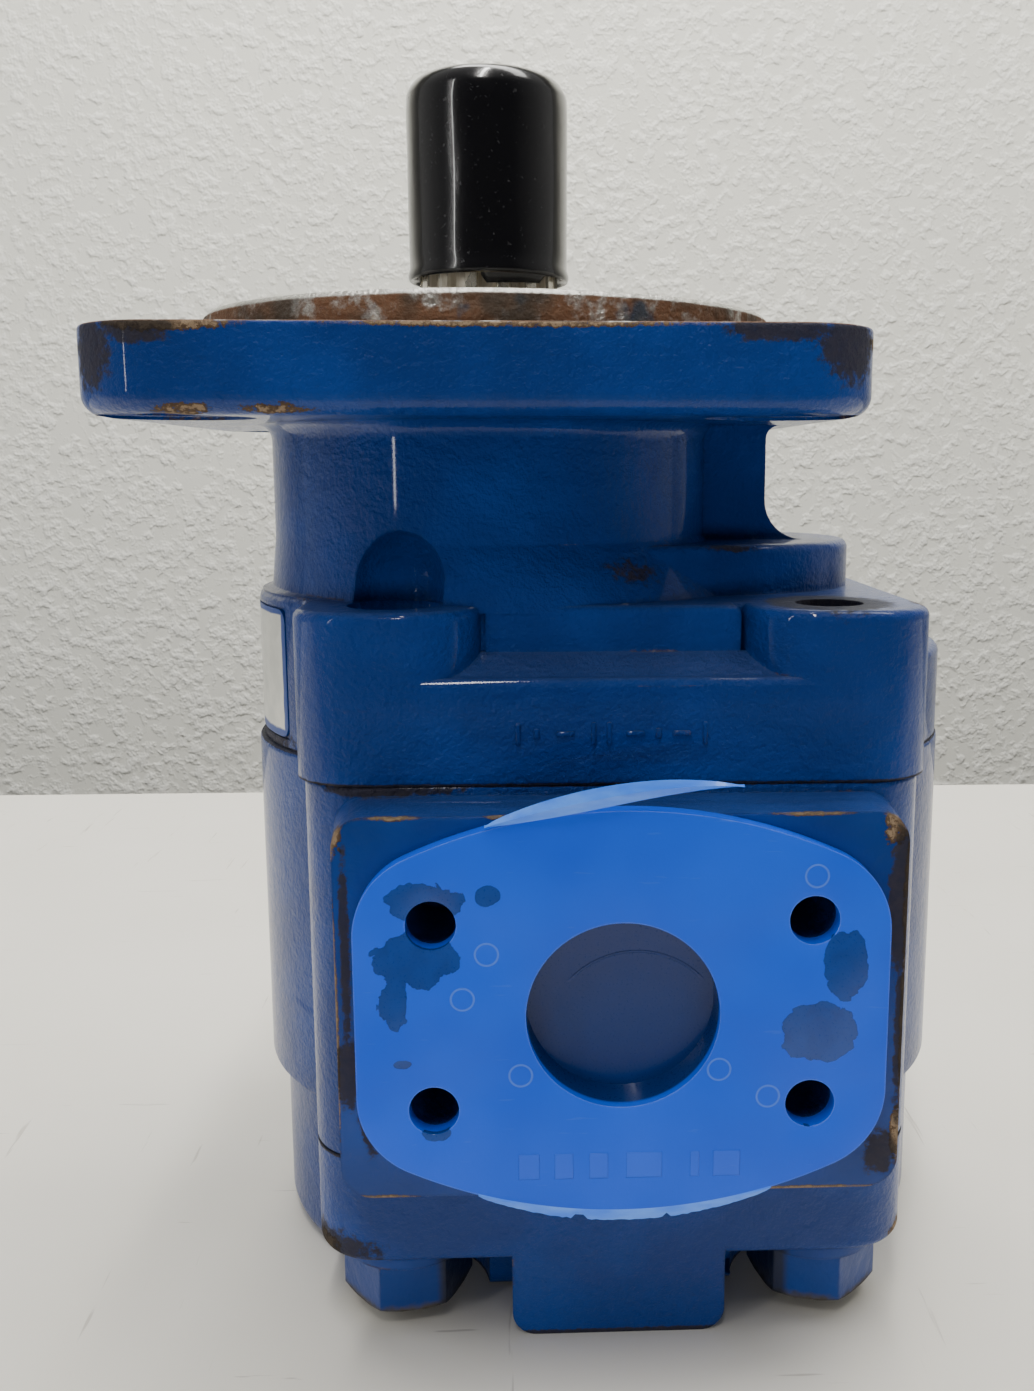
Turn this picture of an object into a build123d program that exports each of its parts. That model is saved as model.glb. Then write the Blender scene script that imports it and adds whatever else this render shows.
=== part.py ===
from build123d import *
import math
import os

# A two-shaft hydraulic gear pump in three cast-iron sections: shaft end cover, gear
# housing and port end cover, held together by four long cap screws.
#
# Frame: the origin is the centre of the mounting flange's face, on the drive shaft's
# axis. +Z runs out along the shaft, the driven gear lies towards +X, and the inlet
# port looks along -Y. Everything is in millimetres.

os.makedirs("parts", exist_ok=True)

# ------------------------------------------------------------------ driving sizes

# gears
gear_centres = 50.8          # distance between the two shaft axes
teeth = 12                   # on each gear
gear_width = 63.5
pressure_angle = 25.0        # degrees
tooth_backlash = 0.24        # play at the pitch circle, shared by the pair
tip_clearance = 0.08         # gear tip to housing bore
end_clearance = 0.1          # gear face to thrust plate

# shafts
journal_r = 17.5
journal_clearance = 0.05     # shaft in its bush
spline_teeth = 14
spline_r = 15.7              # over the spline teeth
spline_root_r = 13.6
shaft_reach = 56.0           # shaft end above the flange face
spline_start = 6.5           # the spline runs from here to the shaft end
spline_root_share = 0.31     # half a spline tooth at its root, as a share of the pitch
spline_top_share = 0.18      # and at its top
spline_neck = 2.0            # plain turned stretch under the spline
end_bevel = 2.2
journal_bevel = 1.0
journal_short = 1.0          # journal end, short of its bush's end
journal_top_drop = 1.5       # top of the full journal, below the spline
shaft_room = 1.5             # shaft to the cover's through bore
centre_hole_r = 3.0
centre_hole_depth = 8.0

# bushes, thrust plates and seals
bush_wall = 3.0
bush_length = 28.5
bush_bevel = 0.5
bush_end_gap = 1.0           # bush to the floor of its pocket
plate_thickness = 6.9
plate_edge_gap = 0.05
plate_bore_gap = 0.4         # thrust plate to the shaft
pocket_ring_gap = 3.5        # shaft to the pocket seal
seal_section = 2.4           # square section of every rubber ring
section_seal_offset = 8.5    # from the gear bore out to the section seal

# outboard bearing
bearing_r = 36.0
bearing_width = 17.0
bearing_floor = -14.5        # the seat that the outer race stands on
ball_r = 5.5
ball_count = 9
race_gap = 0.3               # ball to groove
cage_wall = 3.2
cage_height = 14.0
cage_play = 0.05
race_wall = 5.2
race_edge_r = 0.8
ring_thickness = 1.8         # both snap rings
ring_groove_depth = 1.0      # in the shaft
bore_ring_reach = 2.6        # how far each snap ring stands out of its groove
shaft_ring_reach = 2.4
bore_ring_split = 7.0
shaft_ring_split = 5.0

# shaft seal
seal_r = 26.0
seal_width = 10.0
seal_case_wall = 1.2
seal_lip_clearance = 0.05
seal_gap = 1.5               # seal to the bearing's seat
seal_rim_gap = 3.0           # inner edge of the seal's case, out from the shaft
lip_waist_gap = 1.6          # the rubber's waist, nose and back, out from the shaft
lip_nose_gap = 1.4
lip_back_gap = 3.8
lip_nose_height = 1.2        # heights of the rubber's profile, from the seal's lower face
lip_low_height = 3.0
lip_high_height = 3.6
lip_waist_height = 5.5
lip_back_height = 5.6
lip_web_drop = 3.0           # where the rubber leaves the case, below the seal's top
spring_r = 0.8
spring_height = 3.2

# mounting flange and pilot
pilot_r = 63.5
pilot_height = 7.0
pilot_bevel = 1.0
flange_side = 148.4
flange_thickness = 16.3
flange_corner_r = 17.0
flange_edge_r = 0.8
flange_bolt_spacing = 114.5
flange_bolt_r = 7.15
spotface_r = 14.5
spotface_depth = 0.6
spotface_reach = 10.0        # clear depth under each spotface

# shaft end cover
neck_r = 49.8
neck_flare = 3.3
skirt_top_depth = 41.0       # the neck's foot spreads into the walls from here
skirt_bottom_depth = 54.0
skirt_x = 6.0                # centre of the spread foot
skirt_half_x = 57.0
skirt_half_y = 55.2
cover_left_r = 53.8
cover_right_r = 54.6
cover_depth = 86.0           # flange face to the first joint face
lug_depth = 52.6             # flange face to the tops of the lugs
shoulder_depth = 65.4        # flange face to the lower shoulder
ledge_reach = 1.3            # side ledge, out past the lugs
wall_half_y = 55.0           # wall between the lugs
lug_inner_x = 26.0           # inner edge of a lug, from the middle of the pump
lug_edge_r = 15.0
shelf_top_depth = 61.6       # sloped shelf between the lugs
shelf_edge_depth = 66.8
shelf_skirt = 6.0            # the shelf's front face, below its edge
shelf_inset = 0.05
boss_r = 33.1                # blind boss over the driven shaft
boss_depth = 42.0
boss_root_r = 47.0           # where the boss runs into the neck
web_reach = 62.8
web_half = 11.0
web_r = 9.0
web_top_r = 3.0
pocket_r = 10.4              # scooped pocket over a screw hole beside the neck
pocket_top_depth = 37.2
pocket_base_gap = 0.8
drill_stop_gap = 3.0         # tapping drill, short of the pocket's top

# the plan that all three sections share
body_r = 55.0
lug_wall_x = 18.0            # cap screw to the outside of its lug
lug_wall_y = 15.5
lug_corner_r = 13.0
notch_r = 8.0
screw_out_x = 18.5           # cap screws, out past the shaft axes
screw_out_y = 20.787         # and out past the gear bores
edge_r = 2.0                 # rounded casting edges

# ports
pad_width = 105.8
pad_height = 74.2
pad_face = 82.4              # from the shaft axis plane
pad_corner_r = 6.0
pad_root_grow = 2.4          # the pad is this much wider at its root, on each side
pad_root_depth = 6.0         # and its root is this deep in the wall
port_bore_stop = 2.0         # bore end, from the shaft axis plane
inlet_bore_r = 19.05
inlet_bolt_x = 69.85
inlet_bolt_z = 35.7
inlet_thread_r = 5.1
outlet_bore_r = 15.9
outlet_bolt_x = 58.7
outlet_bolt_z = 30.2
outlet_thread_r = 4.4
port_thread_depth = 21.0

# port end cover
rear_r = 51.5
rear_lug_thickness = 22.9
rear_depth = 39.7            # joint face to the face that the pump stands on
rear_rim_r = 5.0
head_pocket_r = 17.5
foot_width = 44.0
foot_offset = 0.8
foot_corner_r = 5.0
foot_root = 10.0             # how far the foot runs up into the lug plate
side_hole_r = 2.6
side_hole_depth = 6.0
side_hole_rise = 5.2
side_hole_gap = 3.4

# fasteners
screw_r = 7.94
screw_hole_r = 8.5
thread_minor_r = 6.85
thread_length = 24.0
head_flat = 23.8             # across the flats
head_height = 10.6
head_bevel = 1.6
screw_tip_bevel = 1.2
washer_r = 14.0
washer_thickness = 2.6
washer_play = 0.3
head_turns = (9.3, 44.5, 20.0, 33.0)
dowel_r = 4.0
dowel_length = 16.0
dowel_bevel = 0.6
dowel_end_gap = 0.5
dowel_x = 17.4               # from the middle of the pump
dowel_y = 58.0

# name plate on the side of the shaft end cover
label_thickness = 0.6
label_recess = 0.5
label_gap = 0.4
label_top_depth = 55.6
label_bottom_depth = 83.6
label_half_angle = 36.0
label_end_angle = 0.5        # play at each end of the plate
label_corner_r = 3.0

# plastic pieces for shipping
cap_r = 18.4
cap_wall = 1.8
cap_bottom = 16.0
cap_top = 59.6
cap_shoulder_r = 5.5
plug_plate = 3.6
plug_arc_r = 95.0
plug_corner_r = 16.0
plug_gap = 0.3
plug_wall = 0.9
plug_depth = 9.0
plug_bolt_r = 4.62
inlet_plug_width = 98.2
inlet_plug_height = 77.6
outlet_plug_width = 86.0
outlet_plug_height = 68.0

# ------------------------------------------------------------------ derived places

mid_x = gear_centres / 2
axes_xy = [(0, 0), (gear_centres, 0)]
front_z = -cover_depth
housing_length = gear_width + 2 * (plate_thickness + end_clearance)
rear_z = front_z - housing_length
port_z = front_z - housing_length / 2
rear_lug_z = rear_z - rear_lug_thickness
stand_z = rear_z - rear_depth
gear_top_z = front_z - plate_thickness - end_clearance
gear_bottom_z = gear_top_z - gear_width

module = gear_centres / teeth
pitch_r = gear_centres / 2
tip_r = pitch_r + module
root_r = pitch_r - 1.25 * module
base_r = pitch_r * math.cos(math.radians(pressure_angle))
gear_bore_r = tip_r + tip_clearance
bush_bore_r = journal_r + journal_clearance
bush_r = bush_bore_r + bush_wall
bush_pocket = bush_length + bush_end_gap

screw_x = mid_x + screw_out_x
screw_y = gear_bore_r + screw_out_y
lug_half_x = screw_x + lug_wall_x
lug_half_y = screw_y + lug_wall_y
ledge_half_x = lug_half_x + ledge_reach
screw_xy = [(mid_x + sx * screw_x, sy * screw_y) for sy in (-1, 1) for sx in (-1, 1)]
dowel_xy = [(mid_x - dowel_x, -dowel_y), (mid_x + dowel_x, dowel_y)]
screw_head_z = rear_lug_z - washer_thickness
screw_end_z = front_z + thread_length
ball_circle_r = (journal_r + bearing_r) / 2
plug_face = pad_face + plug_plate
slack = 1.0                  # how far a cutter runs past the face that it opens


# ------------------------------------------------------------------ shared shapes

def section_plan(left_r, right_r, half_x):
    """The outline of one section: a round end about each shaft, and four lug corners."""
    with BuildSketch() as plan:
        with Locations(axes_xy[0]):
            Circle(left_r)
        with Locations(axes_xy[1]):
            Circle(right_r)
        with Locations((mid_x, 0)):
            RectangleRounded(2 * half_x, 2 * lug_half_y, lug_corner_r)
        notches = [
            v for v in plan.vertices()
            if abs(v.X - mid_x) > half_x - 0.1 and abs(v.Y) < lug_half_y - lug_corner_r - 0.1
        ]
        fillet(notches, notch_r)
    return plan.sketch


def racetrack(radius):
    """Two half circles about the shaft axes joined by straight sides."""
    with BuildSketch() as track:
        with Locations((mid_x, 0)):
            SlotCenterToCenter(gear_centres, 2 * radius)
    return track.sketch


def figure_eight(radius):
    """Two full circles about the shaft axes that run into each other."""
    with BuildSketch() as eight:
        with Locations(*axes_xy):
            Circle(radius)
    return eight.sketch


def gear_plan():
    """A spur gear with involute flanks and its first tooth towards +X."""
    def involute(angle):
        return math.tan(angle) - angle

    def flank_point(r, side):
        roll = involute(math.acos(min(1.0, base_r / r)))
        half = math.pi / (2 * teeth) - tooth_backlash / (4 * pitch_r)
        half = half + involute(math.radians(pressure_angle)) - roll
        return (r * math.cos(half), side * r * math.sin(half))

    steps = 7
    radii = [base_r + (tip_r - base_r) * i / steps for i in range(steps + 1)]
    upper = [flank_point(r, 1) for r in radii]
    lower = [flank_point(r, -1) for r in radii]
    base_half = math.atan2(upper[0][1], upper[0][0])
    inner_r = root_r - slack
    foot_up = (inner_r * math.cos(base_half), inner_r * math.sin(base_half))
    foot_down = (foot_up[0], -foot_up[1])
    with BuildSketch(mode=Mode.PRIVATE) as tooth:
        with BuildLine():
            Line(foot_down, lower[0])
            Spline(*lower)
            ThreePointArc(lower[-1], (tip_r, 0), upper[-1])
            Spline(*upper)
            Line(upper[0], foot_up)
            Line(foot_up, foot_down)
        make_face()
    with BuildSketch() as gear:
        Circle(root_r)
        with PolarLocations(0, teeth):
            add(tooth.sketch)
    return gear.sketch


def spline_plan():
    """The section of the splined shaft end."""
    pitch = 2 * math.pi / spline_teeth
    root_half = spline_root_share * pitch
    top_half = spline_top_share * pitch
    inner_r = spline_root_r - slack / 2
    points = [
        (r * math.cos(a), r * math.sin(a))
        for r, a in (
            (inner_r, -root_half), (spline_root_r, -root_half), (spline_r, -top_half),
            (spline_r, top_half), (spline_root_r, root_half), (inner_r, root_half),
        )
    ]
    with BuildSketch(mode=Mode.PRIVATE) as tooth:
        with BuildLine():
            Polyline(*points, close=True)
        make_face()
    with BuildSketch() as section:
        Circle(spline_root_r)
        with PolarLocations(0, spline_teeth):
            add(tooth.sketch)
    return section.sketch


def finish(part, name):
    part.label = name
    export_step(part, f"parts/{name}.step")


# ------------------------------------------------------------------ shaft end cover

with BuildPart() as flange:
    with BuildSketch(Plane.XY.offset(-flange_thickness)):
        RectangleRounded(flange_side, flange_side, flange_corner_r)
    extrude(amount=flange_thickness)
    fillet(flange.faces().sort_by(Axis.Z)[0].edges(), 2 * edge_r)
    fillet(flange.faces().sort_by(Axis.Z)[-1].edges(), flange_edge_r)

with BuildPart() as shaft_end_cover:
    # lower body, up to the shoulder
    with BuildSketch(Plane.XY.offset(front_z)):
        add(section_plan(cover_left_r, cover_right_r, lug_half_x))
    extrude(amount=cover_depth - shoulder_depth)
    shoulder = shaft_end_cover.faces().sort_by(Axis.Z)[-1]
    fillet(shoulder.outer_wire().edges(), edge_r)

    # upper body: lugs, the side ledge and the wall between the lugs
    with BuildSketch(Plane.XY.offset(front_z)) as upper:
        Circle(cover_left_r)
        with Locations((mid_x, 0)):
            Rectangle(gear_centres, 2 * wall_half_y)
        with Locations((mid_x + ledge_half_x / 2, 0)):
            Rectangle(ledge_half_x, 2 * screw_y)
        lug_width = lug_half_x - lug_inner_x + 2 * lug_edge_r
        for sx in (-1, 1):
            for sy in (-1, 1):
                lug_x = mid_x + sx * (lug_inner_x + lug_width / 2)
                with Locations((lug_x, sy * lug_half_y / 2)):
                    RectangleRounded(lug_width, lug_half_y, lug_edge_r)
        add(section_plan(cover_left_r, cover_right_r, ledge_half_x), mode=Mode.INTERSECT)
        with Locations((mid_x + ledge_half_x + body_r, 0)):
            Rectangle(2 * body_r, 4 * body_r, mode=Mode.SUBTRACT)
    extrude(amount=cover_depth - lug_depth)
    lug_tops = shaft_end_cover.faces().sort_by(Axis.Z)[-1]
    fillet(lug_tops.outer_wire().edges(), edge_r)

    # the shelf that slopes out from the wall between the lugs, front and back
    shelf_y = lug_half_y - shelf_inset
    for side in (-1, 1):
        with BuildSketch(Plane.YZ.offset(mid_x - lug_inner_x - lug_edge_r)):
            with BuildLine():
                Polyline(
                    (side * (wall_half_y - slack), -shelf_top_depth),
                    (side * wall_half_y, -shelf_top_depth),
                    (side * shelf_y, -shelf_edge_depth),
                    (side * shelf_y, -shelf_edge_depth - shelf_skirt),
                    (side * (wall_half_y - slack), -shelf_edge_depth - shelf_skirt),
                    close=True,
                )
            make_face()
        extrude(amount=2 * (lug_inner_x + lug_edge_r))

    # blind boss over the driven shaft, which runs into the neck
    with BuildSketch(Plane.XY.offset(-lug_depth - slack)):
        Circle(boss_root_r)
        with Locations(axes_xy[1]):
            Circle(boss_r)
        make_hull()
    extrude(amount=lug_depth + slack - boss_depth)
    boss_top = shaft_end_cover.faces().sort_by(Axis.Z)[-1]
    fillet(boss_top.outer_wire().edges(), edge_r)

    # neck, flared where it meets the lugs and the flange
    with BuildSketch(Plane.XZ):
        with BuildLine():
            Line((0, -lug_depth - slack), (neck_r + neck_flare, -lug_depth - slack))
            Line((neck_r + neck_flare, -lug_depth - slack), (neck_r + neck_flare, -lug_depth))
            CenterArc((neck_r + neck_flare, -lug_depth + neck_flare), neck_flare, 180, 90)
            Line((neck_r, -lug_depth + neck_flare), (neck_r, -flange_thickness - neck_flare))
            CenterArc((neck_r + neck_flare, -flange_thickness - neck_flare), neck_flare, 90, 90)
            Line((neck_r + neck_flare, -flange_thickness), (neck_r + neck_flare, -slack))
            Line((neck_r + neck_flare, -slack), (0, -slack))
            Line((0, -slack), (0, -lug_depth - slack))
        make_face()
    revolve(axis=Axis.Z)
    with BuildSketch(Plane.XY.offset(-skirt_top_depth)):
        Circle(neck_r)
    with BuildSketch(Plane.XY.offset(-skirt_bottom_depth)):
        with Locations((skirt_x, 0)):
            Ellipse(skirt_half_x, skirt_half_y)
    loft()

    # web from the flange down to the boss
    with BuildSketch(Plane.XZ.offset(-web_half)):
        with BuildLine():
            web_top = -flange_thickness
            web_foot = -boss_depth
            Line((mid_x, web_top + slack), (web_reach + web_top_r, web_top + slack))
            Line((web_reach + web_top_r, web_top + slack), (web_reach + web_top_r, web_top))
            CenterArc((web_reach + web_top_r, web_top - web_top_r), web_top_r, 90, 90)
            Line((web_reach, web_top - web_top_r), (web_reach, web_foot + web_r))
            CenterArc((web_reach + web_r, web_foot + web_r), web_r, 180, 90)
            Line((web_reach + web_r, web_foot), (web_reach + web_r, web_foot - slack))
            Line((web_reach + web_r, web_foot - slack), (mid_x, web_foot - slack))
            Line((mid_x, web_foot - slack), (mid_x, web_top + slack))
        make_face()
    extrude(amount=2 * web_half)

    # mounting flange and pilot
    add(flange.part)
    with BuildSketch():
        Circle(pilot_r)
    extrude(amount=pilot_height)
    chamfer(shaft_end_cover.faces().sort_by(Axis.Z)[-1].edges(), pilot_bevel)

    # bolt holes of the flange, with spotfaces on its underside
    with GridLocations(flange_bolt_spacing, flange_bolt_spacing, 2, 2):
        Cylinder(flange_bolt_r, 3 * flange_thickness, mode=Mode.SUBTRACT)
    with Locations((0, 0, -flange_thickness + spotface_depth)):
        with GridLocations(flange_bolt_spacing, flange_bolt_spacing, 2, 2):
            Cylinder(
                spotface_r, spotface_reach,
                align=(Align.CENTER, Align.CENTER, Align.MAX), mode=Mode.SUBTRACT,
            )

    # scooped pockets over the two screw holes beside the neck
    for x, y in (screw_xy[0], screw_xy[2]):
        with Locations((x, y, -pocket_top_depth - pocket_r)):
            Sphere(pocket_r, mode=Mode.SUBTRACT)
        scoop = lug_depth - pocket_base_gap - pocket_top_depth - pocket_r
        with Locations((x, y, -pocket_top_depth - pocket_r)):
            Cylinder(
                pocket_r, scoop + pocket_base_gap,
                align=(Align.CENTER, Align.CENTER, Align.MAX), mode=Mode.SUBTRACT,
            )

    # stepped bore for the bearing, the seal and the drive bush
    up = (Align.CENTER, Align.CENTER, Align.MIN)
    down = (Align.CENTER, Align.CENTER, Align.MAX)
    with Locations((0, 0, bearing_floor)):
        Cylinder(bearing_r, 3 * bearing_width, align=up, mode=Mode.SUBTRACT)
    with Locations((0, 0, bearing_floor + bearing_width)):
        Cylinder(bearing_r + ring_thickness, ring_thickness, align=up, mode=Mode.SUBTRACT)
    with Locations((0, 0, bearing_floor)):
        Cylinder(seal_r, seal_width + seal_gap, align=down, mode=Mode.SUBTRACT)
    with Locations((0, 0, bearing_floor)):
        Cylinder(journal_r + shaft_room, cover_depth, align=down, mode=Mode.SUBTRACT)
    for x, y in axes_xy:
        with Locations((x, y, front_z)):
            Cylinder(bush_r, bush_pocket, align=up, mode=Mode.SUBTRACT)

    # tapped screw holes and dowel holes
    drill_depth = cover_depth - pocket_top_depth - drill_stop_gap
    for x, y in screw_xy:
        with Locations((x, y, front_z)):
            Cylinder(screw_r, thread_length, align=up, mode=Mode.SUBTRACT)
            Cylinder(thread_minor_r, drill_depth, align=up, mode=Mode.SUBTRACT)
    for x, y in dowel_xy:
        with Locations((x, y, front_z)):
            Cylinder(dowel_r, dowel_length / 2 + dowel_end_gap, align=up, mode=Mode.SUBTRACT)

    # shallow recess for the name plate, on the drive shaft's side
    label_height = label_bottom_depth - label_top_depth + 2 * label_gap
    recess_angle = label_half_angle + label_end_angle
    recess_x = -cover_left_r + label_recess / 2 - slack
    for turn in (recess_angle, -recess_angle):
        with BuildSketch(Plane.XZ):
            with Locations((recess_x, -(label_top_depth + label_bottom_depth) / 2)):
                Rectangle(label_recess + 2 * slack, label_height)
        revolve(axis=Axis.Z, revolution_arc=turn, mode=Mode.SUBTRACT)
finish(shaft_end_cover.part, "shaft_end_cover")

# ------------------------------------------------------------------ name plate

with BuildPart() as name_plate:
    with BuildSketch(Plane.XY.offset(-label_bottom_depth)):
        Circle(cover_left_r - label_recess + label_thickness)
        Circle(cover_left_r - label_recess, mode=Mode.SUBTRACT)
        span = 4 * cover_left_r
        tip = span * math.tan(math.radians(label_half_angle))
        with BuildLine():
            Polyline((0, 0), (-span, tip), (-span, -tip), close=True)
        make_face(mode=Mode.INTERSECT)
    extrude(amount=label_bottom_depth - label_top_depth)
    ends = name_plate.edges().filter_by(lambda e: abs(e.length - label_thickness) < 0.01)
    fillet(ends, label_corner_r)
finish(name_plate.part, "name_plate")

# ------------------------------------------------------------------ gear housing

with BuildPart() as gear_housing:
    with BuildSketch(Plane.XY.offset(rear_z)):
        add(section_plan(body_r, body_r, lug_half_x))
    extrude(amount=housing_length)
    upright = gear_housing.faces().sort_by(Axis.Z)
    fillet(upright[-1].outer_wire().edges() + upright[0].outer_wire().edges(), edge_r / 2)

    # port pads, front and back, drawn in towards their faces
    for side in (1, -1):
        with BuildSketch(Plane.XZ.offset(side * pad_face)):
            with Locations((mid_x, port_z)):
                RectangleRounded(pad_width, pad_height, pad_corner_r)
        with BuildSketch(Plane.XZ.offset(side * (lug_half_y - pad_root_depth))):
            with Locations((mid_x, port_z)):
                RectangleRounded(
                    pad_width + 2 * pad_root_grow, housing_length - 2 * edge_r, pad_corner_r
                )
        loft()

    # ports: a bore into the gear chamber and four tapped holes
    for side, bore_r, bolt_x, bolt_z, thread_r in (
        (1, inlet_bore_r, inlet_bolt_x, inlet_bolt_z, inlet_thread_r),
        (-1, outlet_bore_r, outlet_bolt_x, outlet_bolt_z, outlet_thread_r),
    ):
        with BuildSketch(Plane.XZ.offset(side * pad_face)):
            with Locations((mid_x, port_z)):
                Circle(bore_r)
        extrude(amount=-side * (pad_face - port_bore_stop), mode=Mode.SUBTRACT)
        with BuildSketch(Plane.XZ.offset(side * pad_face)):
            with Locations((mid_x, port_z)):
                with GridLocations(bolt_x, bolt_z, 2, 2):
                    Circle(thread_r)
        extrude(amount=-side * port_thread_depth, mode=Mode.SUBTRACT)

    # gear chamber
    with BuildSketch(Plane.XY.offset(rear_z)):
        add(figure_eight(gear_bore_r))
    extrude(amount=housing_length, mode=Mode.SUBTRACT)

    # screw and dowel holes
    for x, y in screw_xy:
        with Locations((x, y, rear_z)):
            Cylinder(screw_hole_r, housing_length, align=up, mode=Mode.SUBTRACT)
    for x, y in dowel_xy:
        with Locations((x, y, front_z)):
            Cylinder(dowel_r, dowel_length / 2 + dowel_end_gap, align=down, mode=Mode.SUBTRACT)
        with Locations((x, y, rear_z)):
            Cylinder(dowel_r, dowel_length / 2 + dowel_end_gap, align=up, mode=Mode.SUBTRACT)

    # a groove for the section seal in each joint face
    groove_r = gear_bore_r + section_seal_offset
    for z, depth in ((front_z, -seal_section), (rear_z, seal_section)):
        with BuildSketch(Plane.XY.offset(z)):
            add(racetrack(groove_r + seal_section))
            add(racetrack(groove_r), mode=Mode.SUBTRACT)
        extrude(amount=depth, mode=Mode.SUBTRACT)
finish(gear_housing.part, "gear_housing")

# ------------------------------------------------------------------ port end cover

with BuildPart() as lug_plate:
    with BuildSketch(Plane.XY.offset(rear_lug_z)):
        add(section_plan(rear_r, rear_r, lug_half_x))
    extrude(amount=rear_lug_thickness)
    fillet(lug_plate.faces().sort_by(Axis.Z)[0].outer_wire().edges(), edge_r)

with BuildPart() as port_end_cover:
    # central body, which the pump stands on
    with BuildSketch(Plane.XY.offset(stand_z)):
        add(racetrack(rear_r))
    extrude(amount=rear_depth)
    fillet(port_end_cover.faces().sort_by(Axis.Z)[0].outer_wire().edges(), rear_rim_r)

    # room for the screw heads and their washers
    for x, y in screw_xy:
        with Locations((x, y, stand_z)):
            Cylinder(head_pocket_r, rear_depth - slack, align=up, mode=Mode.SUBTRACT)

    # lug plate
    add(lug_plate.part)

    # feet under the middle of the front and back faces
    foot_top_z = rear_lug_z + foot_root
    with BuildSketch(Plane.XZ.offset(lug_half_y)):
        with Locations((mid_x + foot_offset, (stand_z + foot_top_z) / 2)):
            RectangleRounded(foot_width, foot_top_z - stand_z, foot_corner_r)
    extrude(amount=-2 * lug_half_y)

    # bush pockets, screw, dowel and side holes
    for x, y in axes_xy:
        with Locations((x, y, rear_z)):
            Cylinder(bush_r, bush_pocket, align=down, mode=Mode.SUBTRACT)
    for x, y in screw_xy:
        with Locations((x, y, rear_z)):
            Cylinder(screw_hole_r, rear_depth, align=down, mode=Mode.SUBTRACT)
    for x, y in dowel_xy:
        with Locations((x, y, rear_z)):
            Cylinder(dowel_r, dowel_length / 2 + dowel_end_gap, align=down, mode=Mode.SUBTRACT)
    side_hole_x = mid_x + foot_offset + foot_width / 2 + side_hole_gap
    with BuildSketch(Plane.XZ.offset(rear_r + slack)):
        with Locations((side_hole_x, stand_z + side_hole_rise)):
            Circle(side_hole_r)
    extrude(amount=-side_hole_depth - slack, mode=Mode.SUBTRACT)
finish(port_end_cover.part, "port_end_cover")

# ------------------------------------------------------------------ gear shafts

journal_end_z = rear_z - bush_length + journal_short

with BuildPart() as drive_gear_shaft:
    with Locations((0, 0, journal_end_z)):
        Cylinder(journal_r, spline_start - journal_top_drop - journal_end_z, align=up)
    chamfer(drive_gear_shaft.edges().group_by(Axis.Z)[0], journal_bevel)
    chamfer(drive_gear_shaft.edges().group_by(Axis.Z)[-1], journal_bevel)
    with BuildSketch(Plane.XY.offset(gear_bottom_z)):
        add(gear_plan())
    extrude(amount=gear_width)
    # splined end, with a plain turned stretch below the spline
    with Locations((0, 0, spline_start - spline_neck)):
        Cylinder(spline_root_r, spline_neck, align=up)
    with BuildSketch(Plane.XY.offset(spline_start)):
        add(spline_plan())
    extrude(amount=shaft_reach - spline_start)
    with BuildSketch(Plane.XZ):
        with BuildLine():
            Polyline(
                (spline_r - end_bevel, shaft_reach + slack),
                (spline_r - end_bevel, shaft_reach),
                (spline_r + slack, shaft_reach - end_bevel - slack),
                (spline_r + slack, shaft_reach + slack),
                close=True,
            )
        make_face()
    revolve(axis=Axis.Z, mode=Mode.SUBTRACT)
    # centre drilling and the snap ring's groove
    with Locations((0, 0, shaft_reach)):
        Cylinder(centre_hole_r, centre_hole_depth, align=down, mode=Mode.SUBTRACT)
    with Locations((0, 0, bearing_floor + bearing_width)):
        Cylinder(journal_r + slack, ring_thickness, align=up, mode=Mode.SUBTRACT)
        Cylinder(journal_r - ring_groove_depth, ring_thickness, align=up)
finish(drive_gear_shaft.part, "drive_gear_shaft")

with BuildPart() as driven_gear_shaft:
    top_end_z = front_z + bush_length - journal_short
    with Locations((gear_centres, 0, journal_end_z)):
        Cylinder(journal_r, top_end_z - journal_end_z, align=up)
    chamfer(driven_gear_shaft.edges().group_by(Axis.Z)[0], journal_bevel)
    chamfer(driven_gear_shaft.edges().group_by(Axis.Z)[-1], journal_bevel)
    with BuildSketch(Plane.XY.offset(gear_bottom_z)):
        with Locations(Location((gear_centres, 0, 0), (0, 0, 180 / teeth))):
            add(gear_plan())
    extrude(amount=gear_width)
finish(driven_gear_shaft.part, "driven_gear_shaft")

# ------------------------------------------------------------------ bushes and thrust plates

for name, x, z, align in (
    ("drive_bush_front", 0, front_z, up),
    ("driven_bush_front", gear_centres, front_z, up),
    ("drive_bush_rear", 0, rear_z, down),
    ("driven_bush_rear", gear_centres, rear_z, down),
):
    with BuildPart() as bush:
        with Locations((x, 0, z)):
            Cylinder(bush_r, bush_length, align=align)
            Cylinder(bush_bore_r, bush_length, align=align, mode=Mode.SUBTRACT)
        chamfer(bush.edges().filter_by(GeomType.CIRCLE), bush_bevel)
    finish(bush.part, name)

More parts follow.
